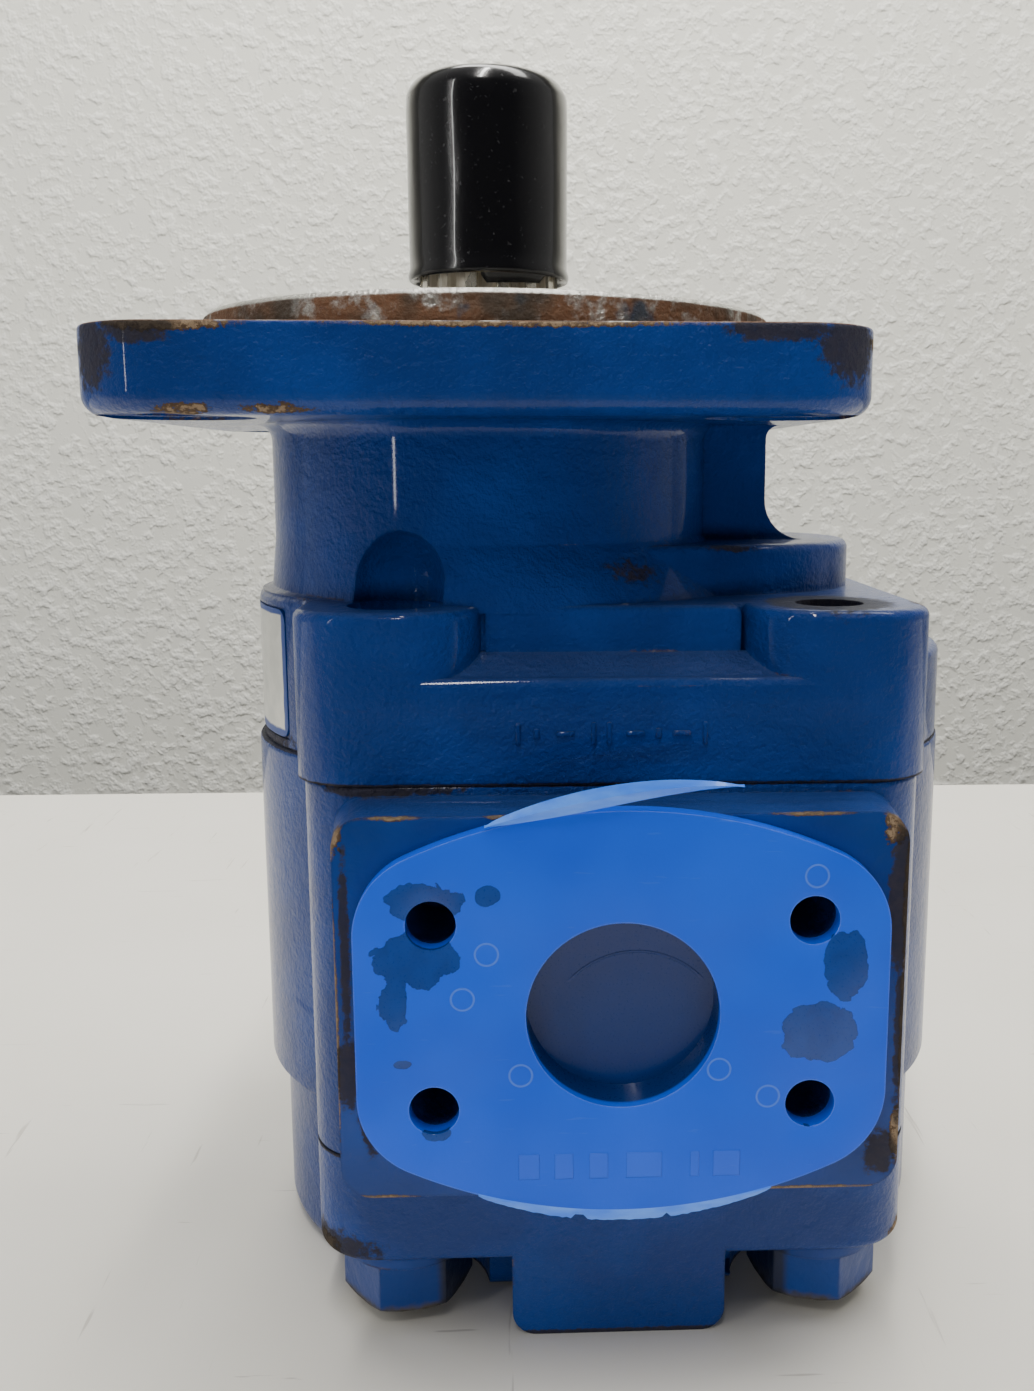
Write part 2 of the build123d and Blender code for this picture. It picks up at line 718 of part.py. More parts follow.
for name, z, turn in (("front", front_z, -1), ("rear", rear_z, 1)):
    ring_in_r = journal_r + pocket_ring_gap
    with BuildPart() as thrust_plate:
        with BuildSketch(Plane.XY.offset(z)):
            add(figure_eight(gear_bore_r - plate_edge_gap))
            with Locations(*axes_xy):
                Circle(journal_r + plate_bore_gap, mode=Mode.SUBTRACT)
        extrude(amount=turn * plate_thickness)
        with BuildSketch(Plane.XY.offset(z)):
            with Locations(*axes_xy):
                Circle(ring_in_r + seal_section)
                Circle(ring_in_r, mode=Mode.SUBTRACT)
        extrude(amount=turn * seal_section, mode=Mode.SUBTRACT)
    finish(thrust_plate.part, f"thrust_plate_{name}")

    with BuildPart() as pocket_seals:
        with BuildSketch(Plane.XY.offset(z)):
            with Locations(*axes_xy):
                Circle(ring_in_r + seal_section)
                Circle(ring_in_r, mode=Mode.SUBTRACT)
        extrude(amount=turn * seal_section)
    finish(pocket_seals.part, f"pocket_seals_{name}")

    with BuildPart() as section_seal:
        with BuildSketch(Plane.XY.offset(z)):
            add(racetrack(groove_r + seal_section))
            add(racetrack(groove_r), mode=Mode.SUBTRACT)
        extrude(amount=turn * seal_section)
    finish(section_seal.part, f"section_seal_{name}")

# ------------------------------------------------------------------ outboard ball bearing

bearing_mid_z = bearing_floor + bearing_width / 2
groove_tube_r = ball_r + race_gap

for name, inner, outer in (
    ("bearing_inner_race", journal_r, journal_r + race_wall),
    ("bearing_outer_race", bearing_r - race_wall, bearing_r),
):
    with BuildPart() as race:
        with BuildSketch(Plane.XZ):
            with Locations(((inner + outer) / 2, bearing_mid_z)):
                RectangleRounded(outer - inner, bearing_width, race_edge_r)
            with Locations((ball_circle_r, bearing_mid_z)):
                Circle(groove_tube_r, mode=Mode.SUBTRACT)
        revolve(axis=Axis.Z)
    finish(race.part, name)

with BuildPart() as bearing_balls:
    with Locations((0, 0, bearing_mid_z)):
        with PolarLocations(ball_circle_r, ball_count):
            Sphere(ball_r)
finish(bearing_balls.part, "bearing_balls")

with BuildPart() as bearing_cage:
    with BuildSketch(Plane.XY.offset(bearing_mid_z - cage_height / 2)):
        Circle(ball_circle_r + cage_wall / 2)
        Circle(ball_circle_r - cage_wall / 2, mode=Mode.SUBTRACT)
    extrude(amount=cage_height)
    with Locations((0, 0, bearing_mid_z)):
        with PolarLocations(ball_circle_r, ball_count):
            Cylinder(ball_r + cage_play, 3 * cage_wall, rotation=(0, 90, 0), mode=Mode.SUBTRACT)
finish(bearing_cage.part, "bearing_cage")

# ------------------------------------------------------------------ snap rings

ring_z = bearing_floor + bearing_width
with BuildPart() as bore_snap_ring:
    with BuildSketch(Plane.XY.offset(ring_z)):
        Circle(bearing_r + ring_thickness)
        Circle(bearing_r - bore_ring_reach, mode=Mode.SUBTRACT)
        with Locations((0, -bearing_r)):
            Rectangle(bore_ring_split, 4 * bore_ring_reach, mode=Mode.SUBTRACT)
    extrude(amount=ring_thickness)
finish(bore_snap_ring.part, "bore_snap_ring")

with BuildPart() as shaft_snap_ring:
    with BuildSketch(Plane.XY.offset(ring_z)):
        Circle(journal_r + shaft_ring_reach)
        Circle(journal_r - ring_groove_depth, mode=Mode.SUBTRACT)
        with Locations((0, -journal_r)):
            Rectangle(shaft_ring_split, 4 * shaft_ring_reach, mode=Mode.SUBTRACT)
    extrude(amount=ring_thickness)
finish(shaft_snap_ring.part, "shaft_snap_ring")

# ------------------------------------------------------------------ shaft seal

seal_bottom_z = bearing_floor - seal_gap - seal_width
seal_top_z = seal_bottom_z + seal_width
case_in_r = seal_r - seal_case_wall
case_in_z = seal_top_z - seal_case_wall
lip_r = journal_r + seal_lip_clearance
waist_r = journal_r + lip_waist_gap
back_r = journal_r + lip_back_gap
with BuildPart() as shaft_seal_case:
    with BuildSketch(Plane.XZ):
        with BuildLine():
            Polyline(
                (seal_r, seal_bottom_z),
                (seal_r, seal_top_z),
                (journal_r + seal_rim_gap, seal_top_z),
                (journal_r + seal_rim_gap, case_in_z),
                (case_in_r, case_in_z),
                (case_in_r, seal_bottom_z),
                close=True,
            )
        make_face()
    revolve(axis=Axis.Z)
finish(shaft_seal_case.part, "shaft_seal_case")

with BuildPart() as shaft_seal_lip:
    with BuildSketch(Plane.XZ):
        with BuildLine():
            Polyline(
                (case_in_r, case_in_z),
                (waist_r, case_in_z),
                (waist_r, seal_bottom_z + lip_waist_height),
                (lip_r, seal_bottom_z + lip_high_height),
                (lip_r, seal_bottom_z + lip_low_height),
                (journal_r + lip_nose_gap, seal_bottom_z + lip_nose_height),
                (back_r, seal_bottom_z + lip_nose_height),
                (back_r, seal_bottom_z + lip_back_height),
                (case_in_r, seal_top_z - lip_web_drop),
                close=True,
            )
        make_face()
        with Locations((back_r, seal_bottom_z + spring_height)):
            Circle(spring_r, mode=Mode.SUBTRACT)
    revolve(axis=Axis.Z)
finish(shaft_seal_lip.part, "shaft_seal_lip")

with BuildPart() as garter_spring:
    with BuildSketch(Plane.XZ):
        with Locations((back_r, seal_bottom_z + spring_height)):
            Circle(spring_r)
    revolve(axis=Axis.Z)
finish(garter_spring.part, "garter_spring")

# ------------------------------------------------------------------ fasteners

corner_r = head_flat / math.sqrt(3)
with BuildPart() as cap_screw:
    with BuildSketch():
        RegularPolygon(corner_r, 6)
    extrude(amount=head_height)
    # the free side of the head is turned down to a cone, which rounds off its corners
    Cone(
        corner_r - head_bevel, corner_r - head_bevel + 2 * head_height, head_height,
        align=up, mode=Mode.INTERSECT,
    )
    with Locations((0, 0, head_height)):
        Cylinder(screw_r, screw_end_z - screw_head_z, align=up)
    chamfer(cap_screw.faces().sort_by(Axis.Z)[-1].edges(), screw_tip_bevel)

with BuildPart() as cap_screws:
    for (x, y), turn in zip(screw_xy, head_turns):
        with Locations(Location((x, y, screw_head_z - head_height), (0, 0, turn))):
            add(cap_screw.part)
finish(cap_screws.part, "cap_screws")

with BuildPart() as washers:
    for x, y in screw_xy:
        with Locations((x, y, rear_lug_z)):
            Cylinder(washer_r, washer_thickness, align=down)
            Cylinder(screw_r + washer_play, washer_thickness, align=down, mode=Mode.SUBTRACT)
finish(washers.part, "washers")

with BuildPart() as dowel_pins:
    for x, y in dowel_xy:
        for z in (front_z, rear_z):
            with Locations((x, y, z)):
                Cylinder(dowel_r, dowel_length)
    chamfer(dowel_pins.edges().filter_by(GeomType.CIRCLE), dowel_bevel)
finish(dowel_pins.part, "dowel_pins")

# ------------------------------------------------------------------ shipping pieces

with BuildPart() as shaft_cap:
    with Locations((0, 0, cap_bottom)):
        Cylinder(cap_r, cap_top - cap_bottom, align=up)
    fillet(shaft_cap.edges().group_by(Axis.Z)[-1], cap_shoulder_r)
    with Locations((0, 0, cap_bottom)):
        Cylinder(cap_r - cap_wall, cap_top - cap_bottom - cap_wall, align=up, mode=Mode.SUBTRACT)
finish(shaft_cap.part, "shaft_cap")

for name, side, width, height, bore_r, bolt_x, bolt_z in (
    ("inlet_port_cover", 1, inlet_plug_width, inlet_plug_height,
     inlet_bore_r, inlet_bolt_x, inlet_bolt_z),
    ("outlet_port_cover", -1, outlet_plug_width, outlet_plug_height,
     outlet_bore_r, outlet_bolt_x, outlet_bolt_z),
):
    cup_r = bore_r - plug_gap
    arc_drop = plug_arc_r - height / 2
    with BuildPart() as port_cover:
        with BuildSketch(Plane.XZ.offset(side * pad_face)) as sheet:
            with Locations((mid_x, port_z)):
                Rectangle(width, height)
            with Locations((mid_x, port_z - arc_drop)):
                Circle(plug_arc_r, mode=Mode.INTERSECT)
            with Locations((mid_x, port_z + arc_drop)):
                Circle(plug_arc_r, mode=Mode.INTERSECT)
            fillet(sheet.vertices(), plug_corner_r)
        extrude(amount=side * plug_plate)
        with BuildSketch(Plane.XZ.offset(side * plug_face)):
            with Locations((mid_x, port_z)):
                Circle(cup_r)
        extrude(amount=-side * (plug_depth + plug_wall))
        with BuildSketch(Plane.XZ.offset(side * plug_face)):
            with Locations((mid_x, port_z)):
                Circle(cup_r - plug_wall)
        extrude(amount=-side * plug_depth, mode=Mode.SUBTRACT)
        with BuildSketch(Plane.XZ.offset(side * plug_face)):
            with Locations((mid_x, port_z)):
                with GridLocations(bolt_x, bolt_z, 2, 2):
                    Circle(plug_bolt_r)
        extrude(amount=-side * plug_plate, mode=Mode.SUBTRACT)
    finish(port_cover.part, name)
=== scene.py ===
# %% [markdown]
# # A hydraulic gear pump, dressed in Blender
# The pump arrives as a finished mechanical model: castings, shafts, bearings, seals and
# screws, all in place and in metres. This lesson gives each of them a believable surface
# and adds the pieces whose look a machine drawing doesn't hold: a dipped vinyl cap, a
# moulded port cover with torn film, blank foundry marks and paint in the joints.

# %% Load the model
import bmesh
import bpy
import math
import random
from mathutils import Matrix, Vector


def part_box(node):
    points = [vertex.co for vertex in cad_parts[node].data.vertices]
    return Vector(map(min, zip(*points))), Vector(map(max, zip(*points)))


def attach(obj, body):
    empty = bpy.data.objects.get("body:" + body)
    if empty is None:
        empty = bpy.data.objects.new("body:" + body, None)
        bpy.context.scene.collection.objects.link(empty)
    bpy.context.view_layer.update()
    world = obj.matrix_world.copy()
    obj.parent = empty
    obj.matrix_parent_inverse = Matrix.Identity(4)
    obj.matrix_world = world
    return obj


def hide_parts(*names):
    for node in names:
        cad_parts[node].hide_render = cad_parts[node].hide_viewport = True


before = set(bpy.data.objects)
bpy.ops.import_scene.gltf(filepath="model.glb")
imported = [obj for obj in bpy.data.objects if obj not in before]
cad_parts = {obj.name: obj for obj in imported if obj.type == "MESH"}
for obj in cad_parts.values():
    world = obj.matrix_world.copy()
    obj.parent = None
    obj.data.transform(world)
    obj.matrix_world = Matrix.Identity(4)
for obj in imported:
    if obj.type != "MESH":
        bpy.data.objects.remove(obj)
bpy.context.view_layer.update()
MM = 0.001

# %% [markdown]
# ## Where things are
# Every position below comes from the boxes of the model's own nodes, so a piece can't
# drift from the part that it sits on. The shaft axis is the Z axis, the flange's face
# is Z = 0, and the inlet looks towards -Y.

# %% Places read from the model
cover_low, cover_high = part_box("shaft_end_cover")
housing_low, housing_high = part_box("gear_housing")
rear_low, rear_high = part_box("port_end_cover")
cap_low, cap_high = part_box("shaft_cap")
plug_low, plug_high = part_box("inlet_port_cover")
middle_x = (rear_low.x + rear_high.x) / 2
port_z = (housing_low.z + housing_high.z) / 2
pad_y = housing_low.y
seam_z = housing_high.z
front_y = rear_low.y
print("port centre:", round(middle_x, 4), round(port_z, 4), "pad face:", round(pad_y, 4))

# %% [markdown]
# ## Writing a material as arithmetic
# A node tree is a picture of a formula. `Wire` wraps one output socket and overloads the
# arithmetic operators, so `1 - mask * 0.5` adds its own Math nodes. `Finish` owns one
# material and makes any node with one method, so every finish below reads as a recipe.

# %% Wire and Finish
class Wire:
    """A number that varies over a surface."""

    def __init__(self, finish, socket):
        self.finish, self.socket = finish, socket

    def maths(self, operation, other=None, swapped=False):
        pair = (other, self) if swapped else (self, other)
        values = {i: v for i, v in enumerate(pair) if v is not None}
        return self.finish.node("ShaderNodeMath", {"operation": operation}, values)

    def __add__(self, other): return self.maths("ADD", other)
    def __radd__(self, other): return self.maths("ADD", other)
    def __sub__(self, other): return self.maths("SUBTRACT", other)
    def __rsub__(self, other): return self.maths("SUBTRACT", other, True)
    def __mul__(self, other): return self.maths("MULTIPLY", other)
    def __rmul__(self, other): return self.maths("MULTIPLY", other)
    def __abs__(self): return self.maths("ABSOLUTE")
    def either(self, other): return self.maths("MAXIMUM", other)


class Finish:
    """One material, built up from nodes."""

    def __init__(self, name, **constants):
        self.material = bpy.data.materials.new(name)
        self.material.use_nodes = True
        self.tree = self.material.node_tree
        self.shader = self.tree.nodes["Principled BSDF"]
        for socket, value in constants.items():
            self.shader.inputs[socket.replace("_", " ")].default_value = value
        self.spot = self.node("ShaderNodeTexCoord", out="Object")
        parts = self.node("ShaderNodeSeparateXYZ", values={0: self.spot})
        outs = parts.socket.node.outputs
        self.x, self.y, self.z = (Wire(self, outs[i]) for i in range(3))

    def node(self, kind, settings=None, values=None, out=0):
        made = self.tree.nodes.new(kind)
        for key, value in (settings or {}).items():
            if key == "stops":
                while len(made.color_ramp.elements) < len(value):
                    made.color_ramp.elements.new(1.0)
                for element, (place, colour) in zip(made.color_ramp.elements, value):
                    element.position, element.color = place, colour
            else:
                setattr(made, key, value)
        for key, value in (values or {}).items():
            if isinstance(value, Wire):
                self.tree.links.new(value.socket, made.inputs[key])
            else:
                made.inputs[key].default_value = value
        return Wire(self, made.outputs[out])

    def feed(self, **wires):
        for socket, wire in wires.items():
            self.tree.links.new(wire.socket, self.shader.inputs[socket.replace("_", " ")])

    def noise(self, size, detail=3.0, roughness=0.55, where=None, warp=0.0):
        """Cloudy noise from 0 to 1 whose blobs are about size metres across."""
        values = {"Vector": where or self.spot, "Scale": 1 / size, "Detail": detail}
        values.update({"Roughness": roughness, "Distortion": warp})
        return self.node("ShaderNodeTexNoise", None, values, "Fac")

    def step(self, value, low, high):
        """0 below low, 1 above high, and smooth between them."""
        values = {"Value": value, "From Min": low, "From Max": high}
        return self.node("ShaderNodeMapRange", {"interpolation_type": "SMOOTHSTEP"}, values)

    def band(self, value, centre, half, soft):
        """1 within half of centre, fading to 0 over soft."""
        return 1 - self.step(abs(value - centre), half, half + soft)

    def near(self, point, inner, outer, stretch=(1, 1, 1)):
        """1 within inner of a point, 0 beyond outer; stretch squeezes the ball per axis."""
        scaled = self.scaled(stretch)
        target = [p * s for p, s in zip(point, stretch)]
        gap = self.node(
            "ShaderNodeVectorMath", {"operation": "DISTANCE"}, {0: scaled, 1: target}, "Value"
        )
        return 1 - self.step(gap, inner, outer)

    def scaled(self, factors):
        return self.node(
            "ShaderNodeVectorMath", {"operation": "MULTIPLY"}, {0: self.spot, 1: factors}
        )

    def off_axis(self):
        """Distance from the shaft axis."""
        flat = self.scaled((1, 1, 0))
        return self.node("ShaderNodeVectorMath", {"operation": "LENGTH"}, {0: flat}, "Value")

    def off_port(self, x, z):
        """Distance from a line along Y through x and z."""
        ends = {0: self.scaled((1, 0, 1)), 1: (x, 0, z)}
        return self.node("ShaderNodeVectorMath", {"operation": "DISTANCE"}, ends, "Value")

    def blend(self, amount, first, second):
        """A colour between first and second."""
        values = {0: amount, 6: first, 7: second}
        return self.node("ShaderNodeMix", {"data_type": "RGBA"}, values, 2)

    def edges(self, radius):
        """How far the surface turns within radius: 0 on a flat, towards 1 on a sharp corner."""
        soft = self.node("ShaderNodeBevel", {"samples": 4}, {"Radius": radius})
        true = self.node("ShaderNodeNewGeometry", out="Normal")
        likeness = self.node(
            "ShaderNodeVectorMath", {"operation": "DOT_PRODUCT"}, {0: soft, 1: true}, "Value"
        )
        return 1 - likeness

    def bump(self, height, depth, under=None):
        """Relief whose full height is depth metres."""
        values = {"Height": height, "Distance": depth, "Strength": 1.0}
        if under is not None:
            values["Normal"] = under
        return self.node("ShaderNodeBump", None, values)

    def rounded(self, radius):
        return self.node("ShaderNodeBevel", {"samples": 4}, {"Radius": radius})


def paint(r, g, b):
    return (r, g, b, 1.0)


finishes = {}
print("arithmetic ready")

# %% [markdown]
# ## Blue enamel over cast iron
# The castings were sprayed after assembly, in one thick coat of deep blue. What sells it is
# what goes wrong: the sand grain of the casting still shows under the gloss, the coat has
# chipped to brown primer and tan along the arrises, grime sits in the joints, and the
# machined faces were masked off. The grain could be real geometry, but at a fraction of a
# millimetre over a whole pump a bump is the better bargain.

# %% Enamel recipe
DEEP_BLUE = paint(0.0002, 0.026, 0.160)
BRIGHT_BLUE = paint(0.0003, 0.038, 0.220)
PRIMER_BROWN = paint(0.085, 0.052, 0.030)
PRIMER_TAN = paint(0.26, 0.185, 0.115)
# near-black for soot, and also for painted shade: the screws' pocket facets and rims, the bench's
# front and the rear cover's contact line
SOOT_AND_SHADE = paint(0.012, 0.013, 0.016)
RUST = paint(0.16, 0.055, 0.018)
SCRATCH_BROWN = paint(0.16, 0.12, 0.09)


def union(f, spots):
    """The brightest of several soft balls, each (place, inner, outer, stretch) in mm."""
    total = None
    for point, inner, outer, stretch in spots:
        spot = f.near([c * MM for c in point], inner * MM, outer * MM, stretch)
        total = spot if total is None else total.either(spot)
    return total


def enamel(name, grain=1.0, chips=(), grime_and_shade=(), dust_level=0.0):
    f = Finish(name, Coat_Roughness=0.05, Coat_IOR=1.42, Specular_IOR_Level=0.20)
    arris = f.edges(1.0 * MM)
    cloud = f.noise(28 * MM, 2.0)
    speck = f.noise(1.6 * MM, 2.0)
    colour = f.blend(f.step(cloud, 0.35, 0.70), DEEP_BLUE, BRIGHT_BLUE)

    # wear is a soft cloud that has to beat a ragged noise, so its outline is the noise's:
    # brown primer first, then tan filler at the heart of each chip
    rough_noise = f.noise(1.7 * MM, 6.0, 0.72)
    ragged = f.step(rough_noise, 0.30, 0.70)
    region = f.noise(22 * MM, 2.0)
    worn = f.step(arris, 0.03, 0.14) * f.step(region, 0.50, 0.66) * 0.75
    if chips:
        knocked = union(f, chips)
        worn = worn.either(knocked * 0.85).either(knocked * 1.5 * f.step(arris, 0.003, 0.04))
    chipped = f.step(worn - 0.62 * ragged, 0.26, 0.32)
    tan = f.step(worn - 0.62 * ragged, 0.48, 0.62)
    colour = f.blend(chipped, colour, PRIMER_BROWN)
    colour = f.blend(tan, colour, PRIMER_TAN)

    # oily grime where hands, hoses and joints have been, and painted contact shade where a grime
    # list draws a line of it
    dirt_and_shade = f.band(f.z, seam_z, 0.20 * MM, 0.45 * MM)
    dirt_and_shade = dirt_and_shade.either(f.band(f.z, housing_low.z, 0.20 * MM, 0.45 * MM)) * 0.9
    if grime_and_shade:
        dirt_and_shade = dirt_and_shade.either(union(f, grime_and_shade))
    dirt_and_shade = f.step(dirt_and_shade - 0.60 * ragged, 0.06, 0.46) * 0.88
    colour = f.blend(dirt_and_shade, colour, f.blend(speck, SOOT_AND_SHADE, paint(0.040, 0.030, 0.022)))

    # a little dust on what looks up
    face = f.node("ShaderNodeNewGeometry", out="Normal")
    up = f.node("ShaderNodeSeparateXYZ", None, {0: face}, 2)
    dust = f.step(up, 0.60, 0.95) * (0.2 + 0.5 * cloud) * (0.2 + dust_level)
    colour = f.blend(dust, colour, paint(0.09, 0.11, 0.14))

    # sand grain, the ripple of the sprayed coat, and the step at a chip's edge
    sand = f.noise(2.6 * MM, 5.0, 0.66) + 0.5 * f.noise(0.9 * MM, 2.0)
    ripple = f.noise(5.5 * MM, 2.0, 0.4, warp=0.4)
    machined = f.step(abs(f.y), abs(pad_y) - 0.15 * MM, abs(pad_y) - 0.05 * MM)
    coarse = sand * (1 - 0.85 * machined) * grain
    shape = f.bump(coarse, 0.80 * MM, f.rounded(1.3 * MM))
    shape = f.bump(ripple, 0.60 * MM, shape)
    shape = f.bump(1 - chipped, 0.18 * MM, shape)
    roughness = 0.36 + 0.16 * speck + 0.30 * chipped + 0.25 * dust + 0.25 * dirt_and_shade
    coat = (1 - chipped) * (1 - dirt_and_shade) * (0.55 - 0.4 * dust)
    return f, colour, roughness, coat, shape


# where the coat is knocked off, and where grime sits (the rear cover's list also holds a line of
# painted contact shade): place, inner and outer reach in mm, and how much the ball is
# squeezed along each axis
COVER_CHIPS = (
    ((-72.0, -58.0, -4.0), 0.8, 6.0, (1.0, 0.5, 1.3)),
    ((73.6, -60.0, -3.0), 0.8, 7.0, (0.9, 0.6, 1.6)),
    ((-36.0, -74.0, -15.8), 1.0, 4.2, (0.30, 1.0, 1.5)),
    ((-52.0, -73.0, -15.4), 1.0, 3.6, (0.40, 1.0, 1.5)),
    ((8.0, -74.2, -0.4), 0.6, 2.2, (0.04, 1.0, 1.5)),
    ((-55.0, -74.0, -0.6), 0.8, 3.4, (0.16, 0.6, 1.3)),
    ((87.5, -52.0, -54.0), 1.0, 5.0, (1.0, 0.5, 1.3)),
)
COVER_GRIME = (
    ((-71.0, -72.0, -5.0), 3.0, 11.5, (1.1, 0.9, 0.9)),
    ((-61.0, -74.2, -1.0), 1.5, 6.0, (0.45, 1.0, 1.2)),
    ((69.0, -72.0, -4.0), 3.0, 12.0, (0.85, 0.9, 1.1)),
    ((54.0, -74.2, -1.0), 1.0, 6.0, (0.35, 1.0, 1.3)),
    ((69.3, -50.5, -52.6), 8.5, 15.0, (0.9, 0.8, 1.0)),
    ((-49.0, -18.0, -84.5), 2.0, 9.0, (0.5, 0.3, 1.4)),
    ((60.0, -34.0, -42.5), 0.6, 3.2, (0.12, 1.0, 1.6)),
    ((40.0, -46.0, -46.0), 1.0, 5.0, (0.2, 0.6, 0.9)),
)
HOUSING_CHIPS = (
    ((-27.4, -82.4, -91.0), 0.8, 4.2, (1.2, 0.6, 0.6)),
    ((-27.6, -82.4, -128.0), 0.4, 2.6, (2.4, 1.2, 0.07)),
    ((-20.0, -82.4, -161.8), 0.4, 2.4, (0.22, 1.2, 2.4)),
    ((-16.0, -82.4, -87.7), 0.5, 2.8, (0.35, 1.2, 2.0)),
    ((3.0, -82.4, -87.7), 0.4, 2.2, (0.5, 1.2, 2.0)),
    ((60.0, -82.4, -87.7), 0.4, 2.4, (0.20, 1.2, 2.2)),
    ((75.5, -82.4, -90.5), 1.4, 4.6, (1.1, 0.8, 0.8)),
    ((78.2, -82.4, -104.0), 0.8, 2.8, (1.9, 1.0, 0.18)),
    ((78.2, -82.4, -128.0), 0.4, 2.6, (2.2, 1.0, 0.08)),
    ((77.8, -82.4, -151.0), 0.9, 3.4, (1.7, 1.0, 0.35)),
    ((62.0, -82.4, -161.8), 0.4, 2.2, (0.10, 1.2, 2.4)),
)
HOUSING_GRIME = (
    ((77.2, -82.4, -104.0), 1.6, 4.6, (1.2, 0.9, 0.20)),
    ((78.0, -81.5, -130.0), 0.8, 3.0, (1.3, 0.8, 0.10)),
    ((-25.4, -82.4, -137.0), 1.4, 5.0, (1.2, 0.9, 0.45)),
    ((-21.0, -82.4, -146.0), 1.0, 5.0, (1.1, 0.9, 0.40)),
    ((75.0, -82.4, -155.0), 0.6, 4.0, (0.7, 0.9, 0.5)),
    ((-25.5, -82.4, -112.0), 0.3, 2.0, (1.2, 0.9, 0.06)),
    ((-22.0, -66.0, -86.8), 0.6, 3.0, (0.10, 0.5, 1.5)),
)
REAR_CHIPS = (
    ((-34.0, -60.0, -184.5), 1.0, 4.5, (0.5, 0.5, 1.0)),
    ((84.5, -58.0, -184.5), 0.8, 4.0, (0.5, 0.5, 1.0)),
)
REAR_GRIME_AND_CONTACT_SHADE = (
    # a thin dark line along the bottom edge, where the casting meets the bench: painted contact
    # shade
    ((30.0, -66.0, -203.4), 1.0, 2.6, (0.02, 0.03, 1.5)),
    ((-30.0, -58.0, -184.0), 2.0, 9.0, (0.5, 0.5, 1.2)),
)

# %% Shaft end cover: enamel below, masked bare iron above
def make_cover_finish():
    f, colour, roughness, coat, shape = enamel(
        "cover_enamel", 1.0, COVER_CHIPS, COVER_GRIME, 0.3
    )
    radius = f.off_axis()
    above = f.step(f.z, -0.35 * MM, -0.05 * MM)
    inside = 1 - f.step(radius, 38.2 * MM, 38.6 * MM)
    bare = above.either(inside)
    # the pilot's side rusted brown under handling; its chamfer and face stayed bright
    stain = f.noise(6 * MM, 4.0, 0.65)
    fine = f.noise(0.8 * MM, 3.0)
    rim = f.step(radius, 62.0 * MM, 63.2 * MM)
    on_side = rim * (1 - f.step(f.z, cover_high.z - 1.3 * MM, cover_high.z - 0.6 * MM))
    rusty = f.step(stain * (0.65 + 0.55 * on_side) + 0.12 * fine, 0.42, 0.66)
    metal = f.blend(f.step(fine, 0.3, 0.7), paint(0.50, 0.49, 0.46), paint(0.66, 0.65, 0.61))
    rust = f.blend(fine, RUST, paint(0.15, 0.085, 0.042))
    metal = f.blend(rusty * (0.25 + 0.7 * on_side), metal, rust)
    overspray = f.step(f.noise(9 * MM, 3.0), 0.60, 0.72) * on_side * 0.75
    metal = f.blend(overspray, metal, paint(0.012, 0.06, 0.12))
    grubby = on_side * f.step(f.noise(16 * MM, 3.0), 0.45, 0.65) * 0.8
    metal = f.blend(grubby, metal, paint(0.060, 0.055, 0.045))
    turned = f.node(
        "ShaderNodeTexWave", {"wave_type": "RINGS", "rings_direction": "Z"},
        {"Vector": f.spot, "Scale": 900.0, "Distortion": 0.3}, "Fac",
    )
    shape = f.bump(turned * bare, 0.012 * MM, shape)
    f.feed(
        Base_Color=f.blend(bare, colour, metal),
        Roughness=roughness * (1 - bare) + bare * (0.28 + 0.4 * rusty),
        Metallic=bare * (1 - 0.85 * rusty),
        Coat_Weight=coat * (1 - bare),
        Normal=shape,
    )
    return f.material


finishes["shaft_end_cover"] = make_cover_finish()

# %% Gear housing and port end cover
def make_body_finish(name, grain, chips, grime_and_shade):
    f, colour, roughness, coat, shape = enamel(name, grain, chips, grime_and_shade, 0.1)
    f.feed(Base_Color=colour, Roughness=roughness, Coat_Weight=coat, Normal=shape)
    return f.material


finishes["gear_housing"] = make_body_finish("housing_enamel", 1.25, HOUSING_CHIPS, HOUSING_GRIME)
finishes["port_end_cover"] = make_body_finish("rear_enamel", 0.9, REAR_CHIPS, REAR_GRIME_AND_CONTACT_SHADE)
print("enamels:", sorted(finishes))

# %% [markdown]
# ## Painted steel, bare steel, bronze and rubber
# The screw heads were sprayed with the castings, and their lower rims rubbed bare on the
# bench; those rims are also painted dark as contact shade, and the facets that face the
# pocket between the heads are painted dark as its shade. The inner pieces are seldom seen,
# but each gets the finish of its trade: ground journals, oiled bronze, dull nitrile and
# phosphated spring steel.

# %% Screws and washers
def make_screw_finish():
    f, colour, roughness, coat, shape = enamel("screw_enamel", 0.25)
    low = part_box("cap_screws")[0].z
    ragged = f.noise(2.5 * MM, 4.0)
    # each head's lower rim is rubbed on the bench, and its dark colour is also painted contact shade
    # where the head meets the bench
    rubbed_rim_and_contact_shade = 1 - f.step(f.z + ragged * 3 * MM, low + 1.6 * MM, low + 3.4 * MM)
    shank = f.step(f.z, rear_low.z + 16.8 * MM, rear_low.z + 17.2 * MM)
    colour = f.blend(rubbed_rim_and_contact_shade, colour, f.blend(ragged, SOOT_AND_SHADE, paint(0.14, 0.12, 0.10)))
    # the head facets that face the pocket between the heads are painted near-black: painted shade of
    # the pocket
    painted_pocket_shade = 1 - f.step(abs(f.x - middle_x), 35.5 * MM, 37.5 * MM)
    colour = f.blend(painted_pocket_shade * 0.85, colour, SOOT_AND_SHADE)
    colour = f.blend(shank, colour, paint(0.05, 0.05, 0.055))
    f.feed(
        Base_Color=colour, Roughness=roughness + 0.35 * rubbed_rim_and_contact_shade, Metallic=shank * 0.9,
        Coat_Weight=coat * (1 - rubbed_rim_and_contact_shade) * (1 - shank), Normal=shape,
    )
    return f.material


